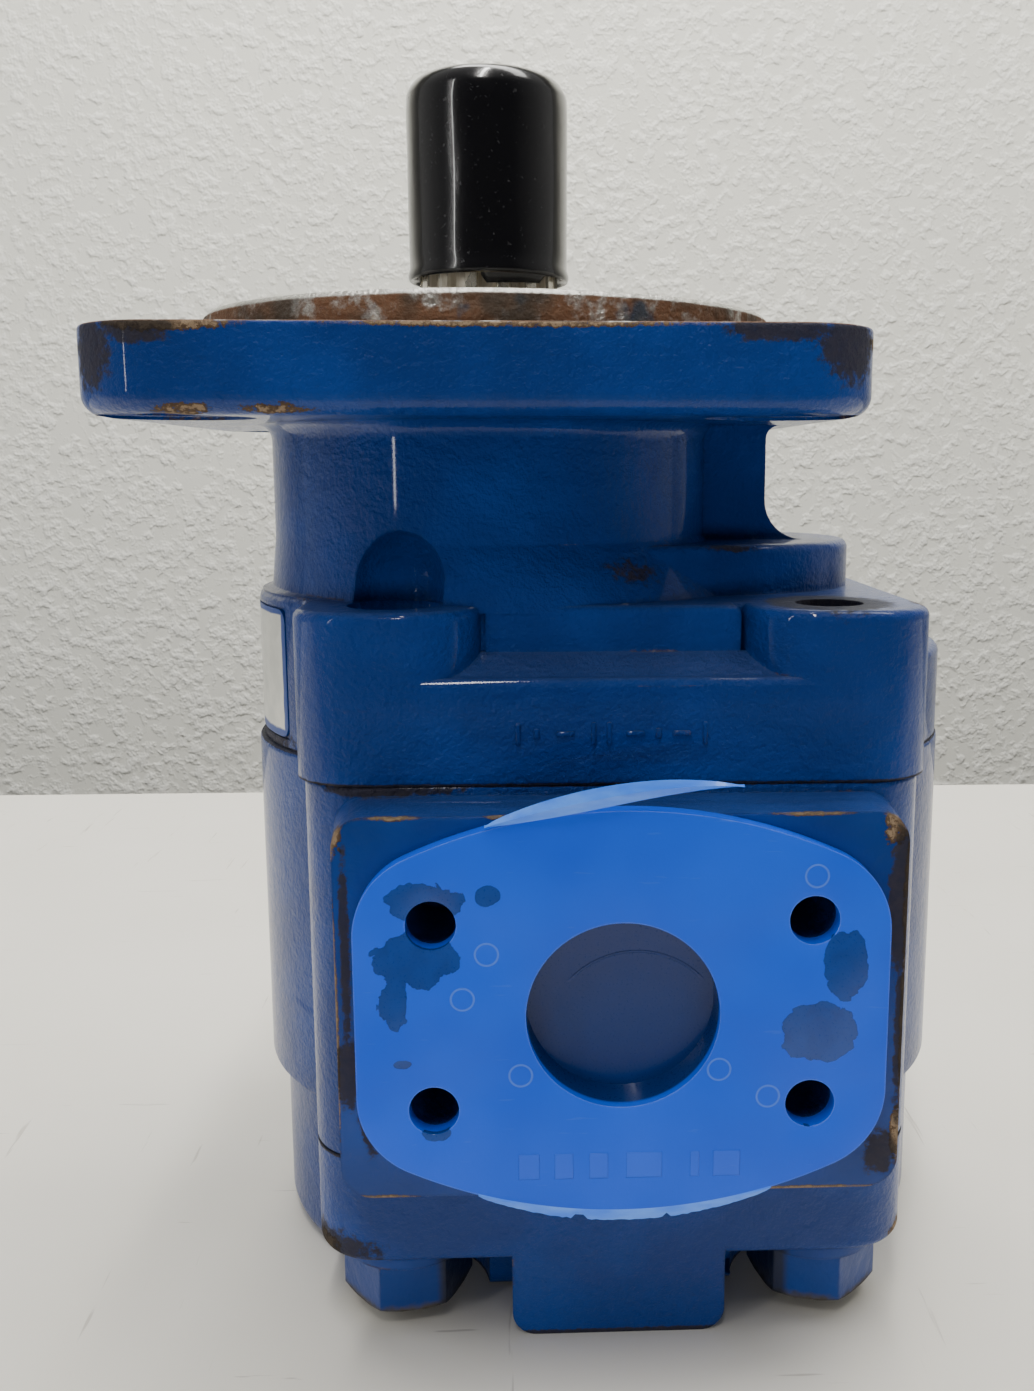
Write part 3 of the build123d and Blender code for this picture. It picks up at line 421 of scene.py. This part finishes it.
finishes["cap_screws"] = make_screw_finish()
finishes["washers"] = finishes["cap_screws"]

# %% Metals of the working parts
def make_metal(name, light, dark, rough, grain_size, stretch=(1, 1, 1), stain=None):
    f = Finish(name, Metallic=1.0)
    streak = f.noise(grain_size, 4.0, 0.6, where=f.scaled(stretch))
    cloud = f.noise(12 * MM, 2.0)
    colour = f.blend(f.step(streak, 0.3, 0.7), dark, light)
    if stain:
        colour = f.blend(f.step(cloud + 0.2 * streak, 0.60, 0.80), colour, stain)
    f.feed(
        Base_Color=colour, Roughness=rough + 0.18 * cloud * streak,
        Normal=f.bump(streak, 0.01 * MM, f.rounded(0.3 * MM)),
    )
    return f.material


ground = make_metal(
    "ground_steel", paint(0.58, 0.57, 0.54), paint(0.40, 0.39, 0.36), 0.22, 0.6 * MM,
    (0.15, 0.15, 1.0), stain=paint(0.20, 0.13, 0.07),
)
bronze = make_metal(
    "oiled_bronze", paint(0.62, 0.40, 0.18), paint(0.42, 0.25, 0.10), 0.28, 0.7 * MM, (1, 1, 0.1)
)
brass = make_metal(
    "pressed_brass", paint(0.70, 0.52, 0.20), paint(0.50, 0.35, 0.12), 0.25, 1.5 * MM
)
phosphate = make_metal(
    "phosphate_steel", paint(0.11, 0.11, 0.11), paint(0.05, 0.05, 0.055), 0.5, 0.5 * MM
)
drawn = make_metal(
    "drawn_steel", paint(0.45, 0.45, 0.45), paint(0.30, 0.30, 0.31), 0.3, 1.0 * MM
)


def make_rubber():
    f = Finish("nitrile", Specular_IOR_Level=0.35)
    dust = f.noise(3 * MM, 4.0)
    black, grey = paint(0.010, 0.010, 0.011), paint(0.035, 0.034, 0.033)
    f.feed(
        Base_Color=f.blend(f.step(dust, 0.4, 0.8), black, grey),
        Roughness=0.55 + 0.25 * dust, Normal=f.bump(dust, 0.03 * MM),
    )
    return f.material


nitrile = make_rubber()
for node in (
    "bearing_inner_race", "bearing_outer_race", "bearing_balls", "dowel_pins", "driven_gear_shaft",
):
    finishes[node] = ground
for side in ("front", "rear"):
    for node in (f"drive_bush_{side}", f"driven_bush_{side}", f"thrust_plate_{side}"):
        finishes[node] = bronze
    for node in (f"pocket_seals_{side}", f"section_seal_{side}"):
        finishes[node] = nitrile
finishes.update({
    "bearing_cage": brass, "bore_snap_ring": phosphate, "shaft_snap_ring": phosphate,
    "garter_spring": phosphate, "shaft_seal_case": drawn, "shaft_seal_lip": nitrile,
})
print(len(finishes), "nodes have a finish")

# %% [markdown]
# ## The splined shaft
# Between the cap and the pilot a short stretch of spline shows. Its lands are bright from
# the hob, and the roots hold brown preserving oil.

# %% Shaft finish
def make_shaft_finish():
    f = Finish("spline_steel")
    radius = f.off_axis()
    land = f.step(radius, 14.6 * MM, 15.5 * MM)
    oil = f.noise(4 * MM, 3.0, where=f.scaled((1, 1, 0.4)))
    streak = f.noise(0.5 * MM, 3.0, where=f.scaled((1, 1, 0.12)))
    steel = f.blend(f.step(streak, 0.3, 0.7), paint(0.70, 0.66, 0.55), paint(0.86, 0.83, 0.74))
    brown = f.blend(oil, paint(0.24, 0.19, 0.12), paint(0.42, 0.35, 0.23))
    splined = f.step(f.z, cover_high.z - 1 * MM, cover_high.z)
    dirty = (1 - land) * splined * 0.55
    dirty = dirty.either(f.step(oil, 0.52, 0.70) * 0.6 * splined)
    f.feed(
        Base_Color=f.blend(dirty, steel, brown), Metallic=0.75 - 0.6 * dirty,
        Roughness=0.20 + 0.3 * oil * (0.3 + dirty),
        Normal=f.bump(streak, 0.012 * MM, f.rounded(0.35 * MM)),
    )
    return f.material


finishes["drive_gear_shaft"] = make_shaft_finish()

# %% [markdown]
# ## The name plate
# A thin blank aluminium plate bent round the side of the casting. The spray gun caught its
# rim, so the blue feathers in from the edge over a satin silver middle.

# %% Plate finish
def make_plate_finish():
    f = Finish("label_aluminium")
    low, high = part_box("name_plate")
    rim = f.step(f.z, high.z - 2.2 * MM, high.z - 0.3 * MM)
    rim = rim.either(1 - f.step(f.z, low.z + 0.3 * MM, low.z + 3.2 * MM))
    rim = rim.either(f.step(abs(f.y), high.y - 2.6 * MM, high.y - 0.4 * MM))
    cloud = f.noise(5 * MM, 3.0)
    spray = f.step(rim + 0.5 * cloud, 0.62, 0.95)
    roll = f.noise(0.35 * MM, 3.0, where=f.scaled((1, 0.08, 1)))
    silver = f.blend(f.step(cloud, 0.3, 0.7), paint(0.66, 0.67, 0.64), paint(0.78, 0.78, 0.74))
    f.feed(
        Base_Color=f.blend(spray, silver, BRIGHT_BLUE), Metallic=0.6 - 0.6 * spray,
        Roughness=0.34 + 0.12 * roll, Normal=f.bump(roll, 0.01 * MM, f.rounded(0.25 * MM)),
    )
    return f.material


finishes["name_plate"] = make_plate_finish()

# %% Dress the nodes that keep their own shape
def dress(piece, material):
    piece.data.materials.clear()
    piece.data.materials.append(material)


for name, material in finishes.items():
    dress(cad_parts[name], material)
print("dressed", len(finishes), "nodes")

# %% [markdown]
# ## Helpers for new pieces
# New pieces are drawn in a bmesh in their final place. `settle` turns one into an object
# that rides on a body and takes a finish, with normals facing out.

# %% Settle, lathe and soften
def settle(mesh, name, body, material, smooth=True, stands_for=None):
    bmesh.ops.recalc_face_normals(mesh, faces=mesh.faces)
    data = bpy.data.meshes.new(name)
    mesh.to_mesh(data)
    mesh.free()
    for face in data.polygons:
        face.use_smooth = smooth
    piece = bpy.data.objects.new(name, data)
    bpy.context.scene.collection.objects.link(piece)
    dress(piece, material)
    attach(piece, body)
    if stands_for:
        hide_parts(stands_for)
    return piece


def lathe(profile, steps, centre=(0, 0, 0)):
    """Spins a closed list of (radius, height) points about the Z axis through centre."""
    mesh = bmesh.new()
    points = [mesh.verts.new((centre[0] + r, centre[1], centre[2] + z)) for r, z in profile]
    loop = [mesh.edges.new((a, b)) for a, b in zip(points, points[1:] + points[:1])]
    bmesh.ops.spin(
        mesh, geom=points + loop, cent=centre, axis=(0, 0, 1), angle=2 * math.pi,
        steps=steps, use_merge=True, use_duplicate=False,
    )
    bmesh.ops.remove_doubles(mesh, verts=mesh.verts, dist=1e-7)
    return mesh


def soften(piece, angle=35):
    """Shades a piece smooth, and keeps its real corners crisp."""
    chosen = {"object": piece, "active_object": piece, "selected_editable_objects": [piece]}
    with bpy.context.temp_override(**chosen):
        bpy.ops.object.shade_smooth_by_angle(angle=math.radians(angle))


# %% [markdown]
# ## The dipped vinyl cap
# The cap is a sock of soft black vinyl, made by dipping a warm mandrel. It is glossy, not
# quite round, swells a little at the shoulder and ends in a thick bead. A lathe gives the
# body, and pushing its points by a slow wave takes the machine-made look away.

# %% Cap shape
def make_cap():
    outer = (cap_high.x - cap_low.x) / 2
    wall = 1.8 * MM
    bottom, top = cap_low.z, cap_high.z
    shoulder = 5.5 * MM
    # the box's own radius is the widest point, so the body is drawn just inside it
    belly = outer - 0.25 * MM
    profile = [
        (outer - wall - 0.1 * MM, bottom + 0.8 * MM), (outer - wall * 0.6, bottom + 0.1 * MM),
    ]
    profile += [(outer - wall * 0.25, bottom), (outer - 0.12 * MM, bottom + 0.5 * MM)]
    profile += [(outer - 0.05 * MM, bottom + 1.3 * MM), (belly - 0.2 * MM, bottom + 2.6 * MM)]
    straight = 10
    for i in range(straight):
        share = i / (straight - 1)
        swell = 0.2 * MM * share
        height = bottom + 5 * MM + share * (top - shoulder - bottom - 7 * MM)
        profile.append((belly - 0.2 * MM + swell, height))
    turns = 9
    for i in range(1, turns + 1):
        a = math.radians(90) * i / turns
        across, up = shoulder * math.cos(a), shoulder * math.sin(a)
        profile.append((belly - shoulder + across, top - shoulder + up))
    profile += [(6 * MM, top - 0.05 * MM), (0.6 * MM, top - 0.35 * MM)]
    profile += [(0.6 * MM, top - wall), (outer - wall - 2.5 * MM, top - wall - 0.2 * MM)]
    profile += [(outer - wall, top - wall - 3.5 * MM)]
    mesh = lathe(profile, 96)
    # close the small hole on the axis, above and below
    for level in (top - 0.35 * MM, top - wall):
        open_edges = [e for e in mesh.edges if e.is_boundary]
        ring = [e for e in open_edges if abs(e.verts[0].co.z - level) < 0.1 * MM]
        if ring:
            bmesh.ops.contextual_create(mesh, geom=ring)
    for v in mesh.verts:
        r = math.hypot(v.co.x, v.co.y)
        if r > outer - wall + 0.3 * MM:
            turn = math.atan2(v.co.y, v.co.x)
            slow, quick = math.sin(2 * turn + 9 * v.co.z / 0.05), math.sin(5 * turn - v.co.z / 0.006)
            wave = 0.5 * slow + 0.5 * quick
            push = 1 - 0.10 * MM * (1 + wave) / 2 / r
            v.co.x *= push
            v.co.y *= push
    return mesh


def make_vinyl():
    f = Finish("black_vinyl", Specular_IOR_Level=0.55, Coat_Roughness=0.04)
    slow = f.noise(9 * MM, 2.0, 0.4, where=f.scaled((1, 1, 0.45)))
    fine = f.noise(0.7 * MM, 2.0)
    dust = f.step(f.noise(1.1 * MM, 4.0, 0.7), 0.63, 0.72)
    f.feed(
        Base_Color=f.blend(dust * 0.35, paint(0.0045, 0.0045, 0.006), paint(0.10, 0.10, 0.105)),
        Roughness=0.16 + 0.10 * fine + 0.3 * dust, Coat_Weight=0.6 - 0.4 * dust,
        Normal=f.bump(fine, 0.006 * MM, f.bump(slow, 0.35 * MM)),
    )
    return f.material


vinyl_cap = settle(
    make_cap(), "vinyl_cap", "shaft_cap", make_vinyl(), stands_for="shaft_cap"
)
soften(vinyl_cap, 50)
print("cap faces:", len(vinyl_cap.data.polygons))

# %% [markdown]
# ## The moulded port covers
# A cover is one moulding of soft blue plastic: a thin plate with a cup that plugs the port.
# Its outline and holes are already right in the mechanical model, so the piece starts from
# a copy of that mesh. The copy is merged, and its arrises get a small moulded radius that
# catches the light.

# %% Cover shape from the model's own copy
def copy_of(node):
    mesh = bmesh.new()
    mesh.from_mesh(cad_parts[node].data)
    bmesh.ops.remove_doubles(mesh, verts=mesh.verts, dist=1e-6)
    return mesh


def make_cover(node, name, body, material):
    mesh = copy_of(node)
    joined = [e for e in mesh.edges if len(e.link_faces) == 2]
    sharp = [e for e in joined if e.calc_face_angle() > math.radians(50)]
    bmesh.ops.bevel(
        mesh, geom=sharp, offset=0.4 * MM, affect="EDGES", segments=3, profile=0.5,
        material=-1, clamp_overlap=True,
    )
    piece = settle(mesh, name, body, material, stands_for=node)
    soften(piece, 30)
    return piece


def ring_mark(f, point, radius, width):
    """A thin ring on a face that looks along Y, drawn round a point."""
    return f.band(f.off_port(*point), radius, width / 2, width)


def make_plastic():
    f = Finish("port_plastic", Specular_IOR_Level=0.34)
    face_y = plug_low.y
    flat = f.off_port(middle_x, port_z)
    cloud = f.noise(30 * MM, 2.0)
    deep, pale_blue = paint(0.005, 0.074, 0.66), paint(0.009, 0.094, 0.74)
    colour = f.blend(f.step(cloud, 0.3, 0.7), deep, pale_blue)

    # flakes of the pump's own paint still hold in two patches and some crumbs
    ragged = f.noise(5 * MM, 5.0, 0.55, warp=0.6)
    crisp = f.noise(1.6 * MM, 2.0)
    patches = (
        ((-10.5, -86, -102.5), 2.5, 9.5, (0.72, 0.1, 1.35)),
        ((-12.5, -86, -113.5), 3.5, 12.0, (0.85, 0.1, 1.15)),
        ((-16.5, -86, -122.0), 1.0, 8.0, (1.2, 0.1, 0.75)),
        ((66.5, -86, -115.5), 3.0, 9.0, (1.25, 0.1, 0.75)),
        ((61.5, -86, -128.5), 3.0, 9.5, (0.75, 0.1, 0.95)),
        ((60.0, -86, -145.5), 0.5, 3.6, (1.0, 0.1, 1.0)),
        ((-15.0, -86, -133.5), 0.5, 3.2, (0.8, 0.1, 1.6)),
        ((0.8, -86, -101.5), 0.8, 3.6, (0.8, 0.1, 1.0)),
        ((-9.0, -86, -147.0), 0.6, 4.0, (0.7, 0.1, 1.2)),
    )
    cover = union(f, patches)
    on_face = 1 - f.step(f.y, face_y + 0.8 * MM, face_y + 1.2 * MM)
    flake = f.step(cover * (0.30 + ragged) + 0.10 * crisp, 0.60, 0.612) * on_face

    # the cup was sprayed through the hole: dark within, with a scuffed pale rim
    in_bore = 1 - f.step(flat, 18.05 * MM, 18.35 * MM)
    in_cup = in_bore * f.step(f.y, face_y + 1.2 * MM, face_y + 2.4 * MM)
    painted = flake.either(in_cup)
    dark_flake, light_flake = paint(0.0003, 0.034, 0.21), paint(0.0005, 0.044, 0.26)
    blue = f.blend(f.step(ragged, 0.3, 0.7), dark_flake, light_flake)
    blue = f.blend(in_cup, blue, paint(0.0002, 0.022, 0.135))
    colour = f.blend(painted, colour, blue)
    scuff = f.edges(0.6 * MM)
    pale = f.step(scuff * (0.5 + crisp), 0.10, 0.30) * (1 - painted)
    colour = f.blend(0.55 * pale, colour, paint(0.30, 0.45, 0.78))

    # pale marks of ejector pins and fine scratches
    marks = None
    pins = (
        (6.5, -136.0), (43.2, -135.5), (52.4, -141.0), (-4.0, -121.0), (0.5, -112.5), (60.5, -98.5),
    )
    for x, z in pins:
        ring = ring_mark(f, (x * MM, z * MM), 2.1 * MM, 0.18 * MM)
        marks = ring if marks is None else marks.either(ring)
    scratch = f.step(f.noise(0.7 * MM, 2.0, where=f.scaled((0.10, 1.0, 0.8))), 0.68, 0.74)
    marks = (marks + 0.25 * scratch) * on_face * (1 - painted)
    colour = f.blend(0.35 * marks, colour, paint(0.16, 0.32, 0.75))

    # a curved flow line on the cup's floor, and blank raised bars low on the plate
    flow = ring_mark(f, (middle_x + 3 * MM, port_z - 8 * MM), 17 * MM, 0.22 * MM) * in_cup
    flow = flow * f.step(f.z, port_z + 3 * MM, port_z + 5 * MM)
    bars = None
    for x, wide in ((-17.5, 1.8), (-11.0, 1.6), (-4.5, 1.6), (4.0, 3.2), (13.5, 0.7), (19.5, 2.4)):
        bar = f.band(f.x, middle_x + x * MM, wide * MM, 0.25 * MM)
        bars = bar if bars is None else bars.either(bar)
    bars = bars * f.band(f.z, port_z - 29.5 * MM, 2.4 * MM, 0.25 * MM) * on_face
    colour = f.blend(0.05 * bars, colour, paint(0.20, 0.36, 0.80))

    skin = f.noise(0.5 * MM, 3.0)
    swirl = f.noise(14 * MM, 2.0)
    shape = f.bump(skin, 0.018 * MM, f.bump(swirl, 0.25 * MM))
    shape = f.bump(painted, 0.10 * MM, f.bump(marks, 0.03 * MM, shape))
    shape = f.bump(flow + bars, 0.16 * MM, shape)
    f.feed(
        Base_Color=colour, Roughness=0.36 + 0.14 * skin - 0.14 * painted + 0.2 * pale,
        Coat_Weight=0.4 * painted, Normal=shape,
    )
    f.shader.inputs["Coat Roughness"].default_value = 0.08
    return f.material


plastic = make_plastic()
inlet_cover = make_cover("inlet_port_cover", "inlet_cover_moulding", "inlet_cover", plastic)
outlet_cover = make_cover("outlet_port_cover", "outlet_cover_moulding", "outlet_cover", plastic)
print("cover faces:", len(inlet_cover.data.polygons), len(outlet_cover.data.polygons))

# %% [markdown]
# ## Torn film on the cover
# When the cover was peeled from its sprue a sliver of film stayed along the top edge, and
# a torn skirt hangs along the bottom. Each is a strip that swells and tapers, drawn as a
# ribbon between two arcs and thickened.

# %% Slivers
def ribbon(rows, name, thickness):
    """A thin sheet through rows of three points, which rides on the inlet's cover."""
    mesh = bmesh.new()
    middle = Vector((middle_x, plug_low.y, port_z))
    made = [[mesh.verts.new(Vector(p) * MM + middle) for p in row] for row in rows]
    for a, b in zip(made, made[1:]):
        for k in range(len(a) - 1):
            mesh.faces.new((a[k], b[k], b[k + 1], a[k + 1]))
    bmesh.ops.recalc_face_normals(mesh, faces=mesh.faces)
    bmesh.ops.solidify(mesh, geom=mesh.faces[:], thickness=thickness)
    piece = settle(mesh, name, "inlet_cover", film)
    soften(piece, 40)
    return piece


def make_film():
    f = Finish("torn_film", Specular_IOR_Level=0.5, Coat_Weight=0.3)
    crease = f.noise(3 * MM, 4.0, where=f.scaled((0.3, 1, 1)))
    f.feed(
        Base_Color=f.blend(
            f.step(crease, 0.3, 0.75), paint(0.030, 0.19, 0.92), paint(0.10, 0.32, 1.0)
        ),
        Roughness=0.22 + 0.25 * crease, Normal=f.bump(crease, 0.12 * MM),
    )
    return f.material


film = make_film()
plate_top = (plug_high.z - plug_low.z) / 2 / MM


def crescent(steps=40):
    """The peeled sliver: held at its left end, its right tip stands clear of the plate."""
    rows = []
    for i in range(steps + 1):
        t = i / steps
        x = -25 + 46.5 * t
        z = plate_top - 2.7 + 8.4 * math.sin(math.pi / 2 * t) ** 0.9 - 1.4 * t ** 4
        half = 0.06 + 1.9 * math.sin(math.pi * t ** 0.8) ** 0.9
        out = -0.2 - 2.0 * math.sin(math.pi * t)
        rows.append(((x, out + 0.5, z - half), (x, out - 0.3, z), (x, out + 0.4, z + half)))
    return rows


def skirt(steps=70):
    """The torn skirt along the plate's lower arch."""
    rng = random.Random(7)
    rows = []
    for i in range(steps + 1):
        t = i / steps
        x = -27 + 55 * t
        edge = -plate_top + x * x / 190
        deep = (0.5 + 1.7 * math.sin(math.pi * t) ** 0.6) * rng.uniform(0.88, 1.0)
        if 22 < i < 26 or 44 < i < 46:
            deep *= 0.6
        rows.append(((x, 0.3, edge + 1.2), (x, -0.1, edge), (x, 0.4, edge - deep)))
    return rows


top_sliver = ribbon(crescent(), "film_sliver_top", 0.35 * MM)
low_skirt = ribbon(skirt(), "film_skirt_low", 0.25 * MM)
print("sliver faces:", len(top_sliver.data.polygons), "skirt faces:", len(low_skirt.data.polygons))

# %% Lip of the cap
def make_lip(steps=24):
    """A flap of spare vinyl that hangs from the cap's rim, in front and to the right."""
    mesh = bmesh.new()
    radius = (cap_high.x - cap_low.x) / 2 - 0.3 * MM
    rows = []
    for i in range(steps + 1):
        t = i / steps
        turn = math.radians(-94 + 50 * t)
        drop = (2.2 - 0.6 * t) * min(1, 9 * t + 0.25, 9 * (1 - t) + 0.25) * MM
        levels = (cap_low.z + 1.2 * MM, cap_low.z, cap_low.z - drop)
        sizes = (radius, radius - 0.2 * MM, radius - 0.9 * MM)
        across, along = math.cos(turn), math.sin(turn)
        rows.append([mesh.verts.new((r * across, r * along, z)) for r, z in zip(sizes, levels)])
    for a, b in zip(rows, rows[1:]):
        for k in (0, 1):
            mesh.faces.new((a[k], b[k], b[k + 1], a[k + 1]))
    bmesh.ops.recalc_face_normals(mesh, faces=mesh.faces)
    bmesh.ops.solidify(mesh, geom=mesh.faces[:], thickness=0.5 * MM)
    return mesh


cap_lip = settle(make_lip(), "cap_lip", "shaft_cap", vinyl_cap.data.materials[0])
soften(cap_lip, 40)

# %% [markdown]
# ## Blank foundry marks
# A casting usually carries raised marks from its pattern. Here they are plain: a row of
# low bars that say nothing. Each is bevelled so that paint seems to flow over it.

# %% Foundry pips
def make_pips():
    mesh = bmesh.new()
    level = seam_z + 10.0 * MM
    tall, wide, short = (1.0, 4.6), (3.6, 1.1), (1.2, 2.2)
    row = (
        (-19, tall), (-15.5, short), (-10, wide), (-4.5, tall), (-1.5, tall), (3.5, wide),
        (8, short), (12.5, wide), (17, tall),
    )
    for x, (w, h) in row:
        made = bmesh.ops.create_cube(mesh, size=1.0)
        bmesh.ops.scale(mesh, verts=made["verts"], vec=(w * MM, 1.1 * MM, h * MM))
        place = (middle_x + x * MM, front_y - 0.05 * MM, level)
        bmesh.ops.translate(mesh, verts=made["verts"], vec=place)
    bmesh.ops.bevel(
        mesh, geom=mesh.edges[:], offset=0.42 * MM, affect="EDGES", segments=3, profile=0.5,
        material=-1,
    )
    return mesh


foundry_pips = settle(
    make_pips(), "foundry_pips", "pump_body", finishes["shaft_end_cover"]
)
soften(foundry_pips, 40)
print("pips:", len(foundry_pips.data.polygons), "faces")

# %% [markdown]
# ## Stage, light and camera
# A worn pale bench ends behind the pump, and a white board wall stands a metre back. The
# light comes from panels overhead and from both sides, while the room in front stays
# dim: glossy blue goes grey as soon as it mirrors a bright room.

# %% Bench
BENCH_BACK = 0.40


def make_bench():
    mesh = bmesh.new()
    size = Vector((6.0, 3.4, 0.04))
    bmesh.ops.create_cube(mesh, size=1.0)
    bmesh.ops.scale(mesh, vec=size, verts=mesh.verts)
    centre = Vector((0, BENCH_BACK - size.y / 2, rear_low.z - size.z / 2))
    bmesh.ops.translate(mesh, vec=centre, verts=mesh.verts)
    bmesh.ops.bevel(
        mesh, geom=mesh.edges[:], offset=0.004, affect="EDGES", segments=3, profile=0.5,
        material=-1,
    )
    data = bpy.data.meshes.new("bench")
    mesh.to_mesh(data)
    mesh.free()
    bench = bpy.data.objects.new("bench", data)
    bpy.context.scene.collection.objects.link(bench)
    f = Finish("bench_laminate", Roughness=0.36)
    cloud = f.noise(70 * MM, 3.0)
    pale = f.blend(cloud, paint(0.72, 0.69, 0.62), paint(0.80, 0.77, 0.70))
    scratch = f.noise(3.0 * MM, 3.0, 0.6, where=f.scaled((1.0, 0.05, 1.0)), warp=0.3)
    scuff = f.noise(2.4 * MM, 3.0, 0.6, where=f.scaled((0.06, 0.8, 1.0)), warp=0.5)
    fine = f.step(scratch, 0.68, 0.73) + f.step(scuff, 0.69, 0.74)
    crumb = f.step(f.noise(2.2 * MM, 4.0, 0.7), 0.74, 0.78)
    gouge = f.near((-0.176, 0.0, rear_low.z), 0.6 * MM, 1.2 * MM, (0.5, 0.022, 1.0))
    marks = (0.35 * fine).either(0.75 * crumb).either(gouge)
    # the bench is painted dark towards the front: a painted shadow, which also dims its reflection
    # in the enamel and its bounce
    painted_front_shadow = 1 - f.step(f.y, -0.42, -0.13)
    f.feed(
        Base_Color=f.blend(painted_front_shadow * 0.85, f.blend(marks, pale, SCRATCH_BROWN), SOOT_AND_SHADE),
        Roughness=0.34 + 0.2 * cloud, Normal=f.bump(marks, -0.05 * MM),
    )
    dress(bench, f.material)


make_bench()

# %% Wall
def make_wall():
    """A far wall of white orange-peel board, seen over the back of the bench."""
    mesh = bmesh.new()
    y, wide, low, high = 1.15, 3.2, rear_low.z - 0.7, 2.4
    corners = [(-wide, y, low), (wide, y, low), (wide, y, high), (-wide, y, high)]
    mesh.faces.new([mesh.verts.new(c) for c in corners])
    data = bpy.data.meshes.new("wall")
    mesh.to_mesh(data)
    mesh.free()
    wall = bpy.data.objects.new("wall", data)
    bpy.context.scene.collection.objects.link(wall)
    f = Finish("wall_board", Roughness=0.40)
    bumps = f.noise(11 * MM, 2.0, 0.5)
    # the wall is painted a little darker just above the bench: painted shade at its foot
    painted_low_shade = 1 - f.step(f.z, rear_low.z - 0.20, rear_low.z - 0.02)
    board = f.blend(f.step(bumps, 0.4, 0.7), paint(0.84, 0.83, 0.75), paint(0.90, 0.89, 0.82))
    f.feed(
        Base_Color=f.blend(0.08 * painted_low_shade, board, paint(0.36, 0.36, 0.33)),
        Normal=f.bump(f.step(bumps, 0.40, 0.75), 1.4 * MM),
    )
    dress(wall, f.material)


make_wall()

# %% Lights
def panel(name, place, aim, size, power, colour, mirrored=True):
    light = bpy.data.lights.new(name, "AREA")
    light.shape, light.size, light.size_y = "RECTANGLE", *size
    light.energy, light.color = power, colour
    lamp = bpy.data.objects.new(name, light)
    lamp.location = place
    lamp.visible_glossy = mirrored
    lamp.rotation_euler = (Vector(aim) - Vector(place)).to_track_quat("-Z", "Y").to_euler()
    bpy.context.scene.collection.objects.link(lamp)


heart = Vector((middle_x, 0, -0.07))
ceiling_white, left_day, right_day = (1.0, 0.985, 0.95), (0.93, 0.96, 1.0), (0.96, 0.98, 1.0)
panel("ceiling_panel", (0.25, 0.25, 1.25), heart, (1.5, 0.35), 14, ceiling_white)
panel("ceiling_tube", (-0.05, -0.45, 1.30), heart, (0.07, 1.2), 15, ceiling_white)
panel("left_strip", (-0.80, -0.75, 0.35), heart, (0.025, 0.9), 1.6, (1.0, 0.99, 0.97))
# these only fill: a glossy surface doesn't mirror them
panel("left_window", (-1.5, 0.15, 0.40), heart, (0.9, 1.2), 8, left_day, False)
panel("right_window", (1.5, 0.20, 0.35), heart, (0.9, 1.2), 3.5, right_day, False)
foot = (0.03, -0.07, -0.18)
panel("front_fill", (0.03, -0.80, -0.13), foot, (0.9, 0.12), 2.2, (0.97, 0.98, 1.0), False)
wall_foot = (0.3, 1.15, 0.0)
panel("wall_wash", (0.3, 0.55, 1.2), wall_foot, (2.4, 0.2), 23, (1.0, 0.99, 0.95), False)
world = bpy.data.worlds.new("room")
world.use_nodes = True
room = world.node_tree
coords = room.nodes.new("ShaderNodeTexCoord")
parts = room.nodes.new("ShaderNodeSeparateXYZ")
fade = room.nodes.new("ShaderNodeMapRange")
fade.inputs["From Min"].default_value, fade.inputs["From Max"].default_value = -0.75, 0.35
fade.inputs["To Min"].default_value, fade.inputs["To Max"].default_value = 0.03, 0.50
room.links.new(coords.outputs["Generated"], parts.inputs[0])
room.links.new(parts.outputs[1], fade.inputs["Value"])
room.links.new(fade.outputs[0], room.nodes["Background"].inputs["Strength"])
room.nodes["Background"].inputs["Color"].default_value = (0.88, 0.87, 0.83, 1)
bpy.context.scene.world = world

# %% Camera
camera_data = bpy.data.cameras.new("camera")
camera_data.lens, camera_data.sensor_width = 33.842, 36.0
camera_data.shift_x, camera_data.shift_y = -0.04825, -0.00693
camera_data.clip_start = 0.01
camera = bpy.data.objects.new("camera", camera_data)
yaw, pitch, roll = math.radians(-2.400), math.radians(90 - 9.606), math.radians(-0.031)
turn = Matrix.Rotation(yaw, 4, "Z") @ Matrix.Rotation(pitch, 4, "X") @ Matrix.Rotation(roll, 4, "Z")
camera.matrix_world = Matrix.Translation((0.00875, -0.31171, -0.02503)) @ turn
bpy.context.scene.collection.objects.link(camera)
bpy.context.scene.camera = camera
